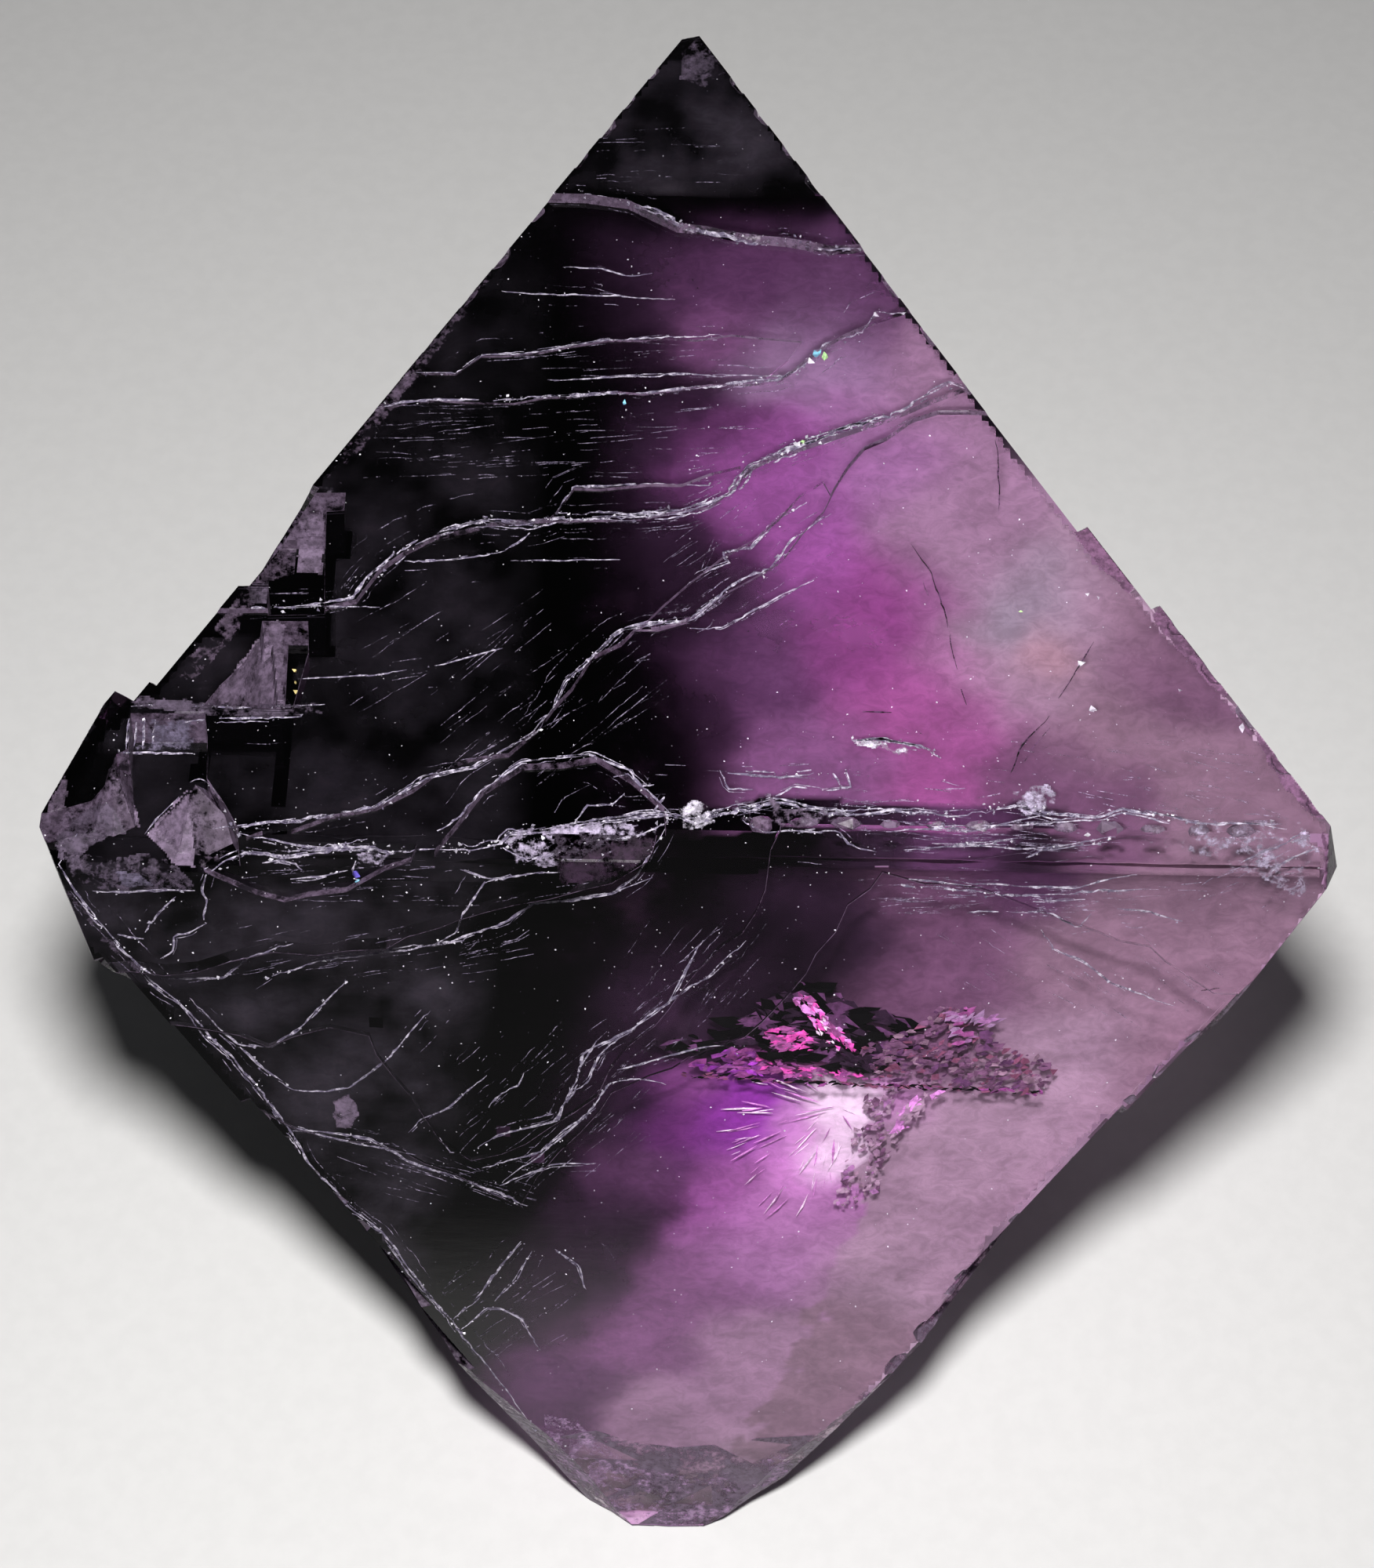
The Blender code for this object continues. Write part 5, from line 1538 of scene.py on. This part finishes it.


# Painted highlights: white, pearl, gold, cyan, lime and indigo flashes, painted as the colour of small
# splinters
GLINTS: tuple[Glint, ...] = (
    Glint(Plane.TOP, 3.6, 7.1, 0.22, Tint.CYAN), Glint(Plane.TOP, 3.9, 7.0, 0.16, Tint.LIME),
    Glint(Plane.TOP, 3.4, 6.9, 0.18, Tint.WHITE), Glint(Plane.TOP, 3.05, 3.7, 0.14, Tint.WHITE),
    Glint(Plane.TOP, 3.2, 3.8, 0.10, Tint.LIME), Glint(Plane.TOP, 5.4, 8.7, 0.16, Tint.WHITE),
    Glint(Plane.TOP, -2.0, 5.1, 0.10, Tint.CYAN), Glint(Plane.TOP, -2.2, 1.0, 0.08, Tint.WHITE),
    Glint(Plane.TOP, -8.8, -11.1, 0.16, Tint.INDIGO), Glint(Plane.TOP, -8.7, -11.3, 0.10, Tint.CYAN),
    Glint(Plane.TOP, -10.9, -4.6, 0.09, Tint.GOLD), Glint(Plane.TOP, -10.85, -5.0, 0.07, Tint.GOLD),
    Glint(Plane.TOP, -10.8, -5.3, 0.10, Tint.GOLD), Glint(Plane.TOP, 9.3, -2.1, 0.07, Tint.LIME),
    Glint(Plane.TOP, 10.9, -3.9, 0.16, Tint.WHITE), Glint(Plane.TOP, 11.1, -5.4, 0.14, Tint.PEARL),
    Glint(Plane.TOP, 11.2, -1.5, 0.10, Tint.WHITE), Glint(Plane.TOP, 11.5, -1.6, 0.08, Tint.PEARL),
    Glint(Plane.TOP, 13.6, -4.7, 0.08, Tint.PEARL), Glint(Plane.TOP, 15.2, -5.9, 0.16, Tint.PEARL),
    Glint(Plane.TOP, 15.8, -8.9, 0.12, Tint.PEARL), Glint(Plane.TOP, 10.8, -9.4, 0.10, Tint.WHITE),
)


@dataclass
class StepFrost:
    """Frosty strands, hairs, crumbs and painted glints that are laid on the top and front faces.

    Lengths are in millimetres, apart from those that are given in the frame's metres by MM.
    """

    surface: Surface
    lines: tuple[StepLine, ...] = STEP_LINES
    fields: tuple[HairField, ...] = HAIR_FIELDS
    glints: tuple[Glint, ...] = GLINTS
    stride: float = 0.13
    jog_chance: float = 0.4
    widest: float = 0.10
    lift: float = 0.010 * MM
    thickness: float = 0.008 * MM
    specks: int = 4200
    speck_area: tuple[float, float] = (18.0, 21.0)
    dice: random.Random = field(default_factory=lambda: random.Random(11))

    def runs(self, line: StepLine, aside: float, start: float, end: float, wobble: float,
             gap: float) -> list[list[Hit]]:
        """Follows a line over the skin in small jogs, with gaps.

        Args:
            line: the step line.
            aside: millimetres that the walk runs to one side.
            start: share of the line where it starts.
            end: share where it ends.
            wobble: millimetres of its jogs.
            gap: chance of a gap at each stride.

        Returns:
            Unbroken runs of points on the skin with their normals.
        """
        points = [Vector(point) for point in line.points]
        lengths = [0.0]
        for first, second in zip(points, points[1:]):
            lengths.append(lengths[-1] + (second - first).length)
        total = lengths[-1]
        count = max(3, int(total * (end - start) / self.stride))
        seed = self.dice.uniform(0.0, 90.0)
        found: list[list[Hit]] = [[]]
        jog, skip = 0.0, 0
        for index in range(count + 1):
            reach = total * (start + (end - start) * index / count)
            leg = max(i for i in range(len(points) - 1) if lengths[i] <= reach + 1e-9)
            run = points[leg + 1] - points[leg]
            share = (reach - lengths[leg]) / max(run.length, 1e-9)
            side = Vector((-run.y, run.x)).normalized()
            if self.dice.random() < self.jog_chance:
                jog = self.dice.uniform(-wobble, wobble)
            slow = 1.6 * wobble * noise.noise(Vector((reach * 1.1, seed, 0.0)))
            spot = points[leg] + run * share + side * (aside + jog + slow)
            if skip:
                skip -= 1
                continue
            if self.dice.random() < gap:
                skip = self.dice.randint(1, 4)
                found.append([])
                continue
            hit = self.surface.drop(line.plane, spot.x, spot.y)
            if hit:
                found[-1].append(hit)
            elif found[-1]:
                found.append([])
        return [run for run in found if len(run) > 1]

    def ribbon(self, path: list[Hit], width: float) -> bmesh.types.BMesh:
        """Draws one thin strand along a path of the skin.

        Args:
            path: points and normals.
            width: its middle width in millimetres.

        Returns:
            The strand, still without thickness.
        """
        strip = bmesh.new()
        ends: list[bmesh.types.BMVert] = []
        for index, (place, normal) in enumerate(path):
            run = path[min(index + 1, len(path) - 1)][0] - path[max(index - 1, 0)][0]
            if run.length < 1e-7:
                continue
            side = run.cross(normal).normalized()
            taper = math.sin(math.pi * (index + 0.6) / (len(path) + 0.2)) ** 0.5
            half = 0.5 * width * MM * taper * self.dice.uniform(0.5, 1.6)
            middle = place + normal * self.lift
            if not ends:
                ends = [strip.verts.new(middle - side * half), strip.verts.new(middle + side * half)]
                strip.edges.new(ends)
                continue
            drawn = bmesh.ops.extrude_edge_only(strip, edges=[strip.edges.get(ends)])
            new = [item for item in drawn["geom"] if isinstance(item, bmesh.types.BMVert)]
            near = {vert: min(ends, key=lambda old: (old.co - vert.co).length) for vert in new}
            ends = [next(vert for vert in new if near[vert] is old) for old in ends]
            ends[0].co = middle - side * half
            ends[1].co = middle + side * half
        return strip

    def gather(self, runs: list[tuple[list[Hit], float]], name: str, finish: Finish) -> bpy.types.Object:
        """Joins strands in one piece and gives them thickness.

        Args:
            runs: paths and their widths.
            name: name of the piece.
            finish: its finish.

        Returns:
            The piece.
        """
        whole = bmesh.new()
        for path, width in runs:
            join(whole, self.ribbon(path, width))
        thicken(whole, self.thickness)
        return add_piece(whole, name, finish.material())

    def crumb_places(self) -> list[tuple[Vector, Vector, float, Vector]]:
        """Chooses where crumbs, specks and glints lie.

        Returns:
            Places with normals, sizes in millimetres and linear colours.
        """
        found: list[tuple[Vector, Vector, float, Vector]] = []
        white, grey = Tint.WHITE.linear, Tint.SLATE.linear
        for line in self.lines:
            if line.dark or not line.crumbs:
                continue
            for first, second in zip(line.points, line.points[1:]):
                run = Vector(second) - Vector(first)
                for _ in range(int(run.length * line.crumbs + self.dice.random())):
                    spot = Vector(first) + run * self.dice.random()
                    side = Vector((-run.y, run.x)).normalized()
                    patchy = noise.noise(Vector((spot.x * 1.3, spot.y * 1.3, 5.0)))
                    if patchy < self.dice.uniform(-0.35, 0.25):
                        continue
                    spot += side * self.dice.gauss(0.0, line.band * 0.7)
                    hit = self.surface.drop(line.plane, spot.x, spot.y)
                    if hit:
                        size = 0.018 + 0.05 * self.dice.random() ** 3 * (1.0 + line.band * 3.0)
                        found.append((*hit, size, grey.lerp(white, self.dice.random() ** 1.6)))
        wide, high = self.speck_area
        for _ in range(self.specks):
            plane = self.dice.choice((Plane.TOP, Plane.FRONT))
            across, up = self.dice.uniform(-wide, wide), self.dice.uniform(-high, high)
            hit = self.surface.drop(plane, across, up)
            if hit:
                share = self.dice.random() ** 2.5
                found.append((*hit, 0.012 + 0.028 * share, grey.lerp(white, share)))
        # Glints: splinters whose colour is a painted flash of light
        for glint in self.glints:
            hit = self.surface.drop(glint.plane, glint.across, glint.up)
            if hit:
                found.append((*hit, glint.size, glint.tint.linear))
        return found

    def crumbs(self) -> bpy.types.Object:
        """Scatters small angular crumbs, among them the painted glints.

        Returns:
            The crumbs, in one mesh.
        """
        whole = bmesh.new()
        spans: list[tuple[int, Vector]] = []
        for place, normal, size, colour in self.crumb_places():
            sides = self.dice.choice((3, 4, 4))
            angle = self.dice.uniform(0.0, math.tau)
            turn = Matrix.Rotation(angle, 4, Vector([self.dice.gauss(0, 1) for _ in range(3)]))
            squeeze = self.dice.uniform(0.4, 1.0)
            scale = Matrix.Diagonal((size * MM, size * MM * squeeze, size * MM * 0.7, 1.0))
            seat = Matrix.Translation(place + normal * 0.15 * size * MM) @ turn @ scale
            crumb = bmesh.new()
            blunt = 0.15 * (sides - 3)
            sizes = {"radius1": 1.0, "radius2": blunt, "depth": 1.2}
            bmesh.ops.create_cone(crumb, cap_ends=True, segments=sides, **sizes)
            bmesh.ops.transform(crumb, matrix=seat, verts=crumb.verts[:])
            spans.append((join(whole, crumb), colour))
        paint(whole, spans)
        return add_piece(whole, "crumbs_and_glints", TonedFinish("crumbs_and_glints", roughness=0.25).material())

    def build(self) -> list[bpy.types.Object]:
        """Makes the strands, the hairs, the dark cracks and the crumbs.

        Returns:
            The pieces.
        """
        strong: list[tuple[list[Hit], float]] = []
        faint: list[tuple[list[Hit], float]] = []
        dark: list[tuple[list[Hit], float]] = []
        for line in self.lines:
            for number in range(line.strands):
                aside, start, end, share = 0.0, 0.0, 1.0, 1.0
                if number:
                    aside = self.dice.gauss(0.0, 0.6 * line.band)
                    start, end = self.dice.uniform(0.0, 0.3), self.dice.uniform(0.6, 1.0)
                    share = self.dice.uniform(0.3, 0.7)
                width = share * min(self.widest, 0.026 + 0.34 * line.band)
                wobble, gap = 0.20 * line.band + 0.015, 0.012 + 0.03 * number
                for run in self.runs(line, aside, start, end, wobble, gap):
                    (dark if line.dark else strong).append((run, width))
            for _ in range(line.hairs):
                start = self.dice.uniform(0.0, 0.85)
                end = min(1.0, start + self.dice.uniform(0.08, 0.30))
                aside = self.dice.gauss(0.0, 0.45)
                for run in self.runs(line, aside, start, end, 0.03, 0.04):
                    (dark if line.dark else faint).append((run, self.dice.uniform(0.010, 0.022)))
        for patch in self.fields:
            heading = math.radians(patch.heading)
            for _ in range(patch.count):
                middle = Vector((patch.across + self.dice.uniform(-1, 1) * patch.wide,
                                 patch.up + self.dice.uniform(-1, 1) * patch.high))
                angle = heading + self.dice.gauss(0.0, 0.07)
                half = 0.5 * patch.length * self.dice.uniform(0.4, 1.4)
                half *= Vector((math.cos(angle), math.sin(angle)))
                scratch = StepLine(patch.plane, (tuple(middle - half), tuple(middle + half)))
                for run in self.runs(scratch, 0.0, 0.0, 1.0, 0.02, 0.05):
                    faint.append((run, self.dice.uniform(0.008, 0.018)))
        frost = FrostFinish("strand_frost", cover=0.95, bright=Tint.PEARL)
        hair = FrostFinish("hair_frost", cover=0.35, bright=Tint.FROST)
        split = FrostFinish("dark_crack", cover=0.8, bright=Tint.DUSK, dim=Tint.BLACK)
        return [
            self.gather(strong, "step_strands", frost),
            self.gather(faint, "step_hairs", hair),
            self.gather(dark, "dark_cracks", split),
            self.crumbs(),
        ]


def add_piece(bm: bmesh.types.BMesh, name: str, material: bpy.types.Material) -> bpy.types.Object:
    """Makes a finished mesh a piece that rides on the crystal.

    Args:
        bm: its mesh, in the frame, which is freed.
        name: its name.
        material: its finish.

    Returns:
        The piece.
    """
    mesh = bpy.data.meshes.new(name)
    bm.to_mesh(mesh)
    bm.free()
    mesh.materials.append(material)
    piece = bpy.data.objects.new(name, mesh)
    bpy.context.scene.collection.objects.link(piece)
    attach(piece, BODY)
    return piece


@dataclass
class Studio:
    """Pale floor, soft light and the camera at the photograph's viewing angle."""

    floor_size: float = 3.0
    floor_grey: float = 0.80
    floor_gap: float = 0.02 * MM
    fade_middle: tuple[float, float, float] = (0.0, 0.016, 0.0)
    fade_start: float = 0.048
    fade_end: float = 0.062
    far_shade: Colour = (0.16, 0.16, 0.165, 1.0)
    sky_colour: Colour = (0.95, 0.97, 1.0, 1.0)
    sky_strength: float = 0.028
    key_power: float = 0.146
    key_size: float = 0.011
    key_colour: tuple[float, float, float] = (1.0, 0.985, 0.97)
    key_place: tuple[float, float, float] = (-0.0014, -0.0412, 0.110)
    key_aim: tuple[float, float, float] = (0.0, 0.0, 0.01)
    rise: float = math.radians(57.57)
    bearing: float = math.radians(-0.475)
    tilt: float = math.radians(1.514)
    distance: float = 0.10598
    sensor: float = 36.0
    focal: float = 4163.35
    image_height: float = 2000.0
    aim: tuple[float, float, float] = (0.0000758, 0.0012688, HEIGHT / 2.0)

    def floor_finish(self) -> bpy.types.Material:
        """Makes the floor's material.

        Returns:
            Pale grey that fades to a darker grey away from the crystal, as painted shade round the lit
            floor.
        """
        material, pen, shader, place = Finish("pale_floor").start()
        tone = pen.span(pen.clouds(place, 1300.0, 3.0), 0.3, 0.7)
        grey, duller = self.floor_grey, 0.97 * self.floor_grey
        sheet = pen.blend(tone, (grey, grey, grey, 1.0), (duller, duller, duller, 1.0))
        # Painted shade: the floor darkens beyond a ring round the crystal
        away = pen.add("ShaderNodeVectorMath", operation="DISTANCE")
        pen.fill(away, {0: place, 1: self.fade_middle})
        fade = pen.span(away.outputs["Value"], self.fade_start, self.fade_end)
        colour = pen.blend(fade, sheet, self.far_shade)
        pen.fill(shader, {"Base Color": colour, "Roughness": 0.95, "Specular IOR Level": 0.1})
        return material

    def floor(self) -> None:
        """Pale sheet that the crystal lies on."""
        sheet = bmesh.new()
        bmesh.ops.create_grid(sheet, x_segments=2, y_segments=2, size=self.floor_size / 2.0)
        bmesh.ops.translate(sheet, verts=sheet.verts[:], vec=(0.0, 0.0, -self.floor_gap))
        mesh = bpy.data.meshes.new("pale_floor")
        sheet.to_mesh(mesh)
        sheet.free()
        mesh.materials.append(self.floor_finish())
        floor = bpy.data.objects.new("pale_floor", mesh)
        bpy.context.scene.collection.objects.link(floor)

    def light(self) -> None:
        """One soft lamp from the camera's side, and a weak even sky."""
        lamp = bpy.data.lights.new("key", "AREA")
        lamp.shape = "DISK"
        lamp.size = self.key_size
        lamp.energy = self.key_power
        lamp.color = self.key_colour
        key = bpy.data.objects.new("key", lamp)
        key.location = self.key_place
        key.rotation_euler = (Vector(self.key_aim) - key.location).to_track_quat("-Z", "Y").to_euler()
        bpy.context.scene.collection.objects.link(key)
        world = bpy.data.worlds.new("soft_sky")
        world.use_nodes = True
        sky = {"Color": self.sky_colour, "Strength": self.sky_strength}
        NodePen(world.node_tree).fill(world.node_tree.nodes["Background"], sky)
        bpy.context.scene.world = world

    def camera(self) -> None:
        """Camera above the front face, at the photograph's height, bearing and tilt."""
        level = math.cos(self.rise)
        back = Vector((math.sin(self.bearing) * level, -math.cos(self.bearing) * level, math.sin(self.rise)))
        right = Vector((0.0, 0.0, 1.0)).cross(back).normalized()
        up = back.cross(right)
        tilted_right = math.cos(self.tilt) * right + math.sin(self.tilt) * up
        tilted_up = -math.sin(self.tilt) * right + math.cos(self.tilt) * up
        lens = bpy.data.cameras.new("camera")
        lens.sensor_fit = "VERTICAL"
        lens.sensor_width = self.sensor
        lens.sensor_height = self.sensor
        lens.lens = self.focal * self.sensor / self.image_height
        lens.clip_start = MM
        camera = bpy.data.objects.new("camera", lens)
        stand = Matrix((tilted_right, tilted_up, back)).transposed().to_4x4()
        stand.translation = Vector(self.aim) + back * self.distance
        camera.matrix_world = stand
        bpy.context.scene.collection.objects.link(camera)
        bpy.context.scene.camera = camera

    def build(self) -> None:
        """Sets the whole studio up."""
        self.floor()
        self.light()
        self.camera()
        settings = bpy.context.scene
        settings.view_settings.view_transform = "Standard"
        settings.cycles.max_bounces = 12
        settings.cycles.transmission_bounces = 12
        settings.cycles.transparent_max_bounces = 16


def main() -> None:
    """Builds the pieces in order and reports each one."""
    logging.basicConfig(level=logging.INFO, format="%(name)s: %(message)s")
    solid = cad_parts[NODE]
    surface = Surface(solid)
    stone = CrystalBody(solid).build()
    pieces = [
        stone,
        CloudySkin(stone).build(),
        *[sheet.build(surface) for sheet in CLOUD_SHEETS],
        CrushedFaces(stone).build(),
        FrostFilms(surface).build(),
        Fracture().build(),
        *StepFrost(surface).build(),
    ]
    for piece in pieces:
        LOG.info("%s: %d faces", piece.name, len(piece.data.polygons))
    Studio().build()


if __name__ == "__main__":
    main()
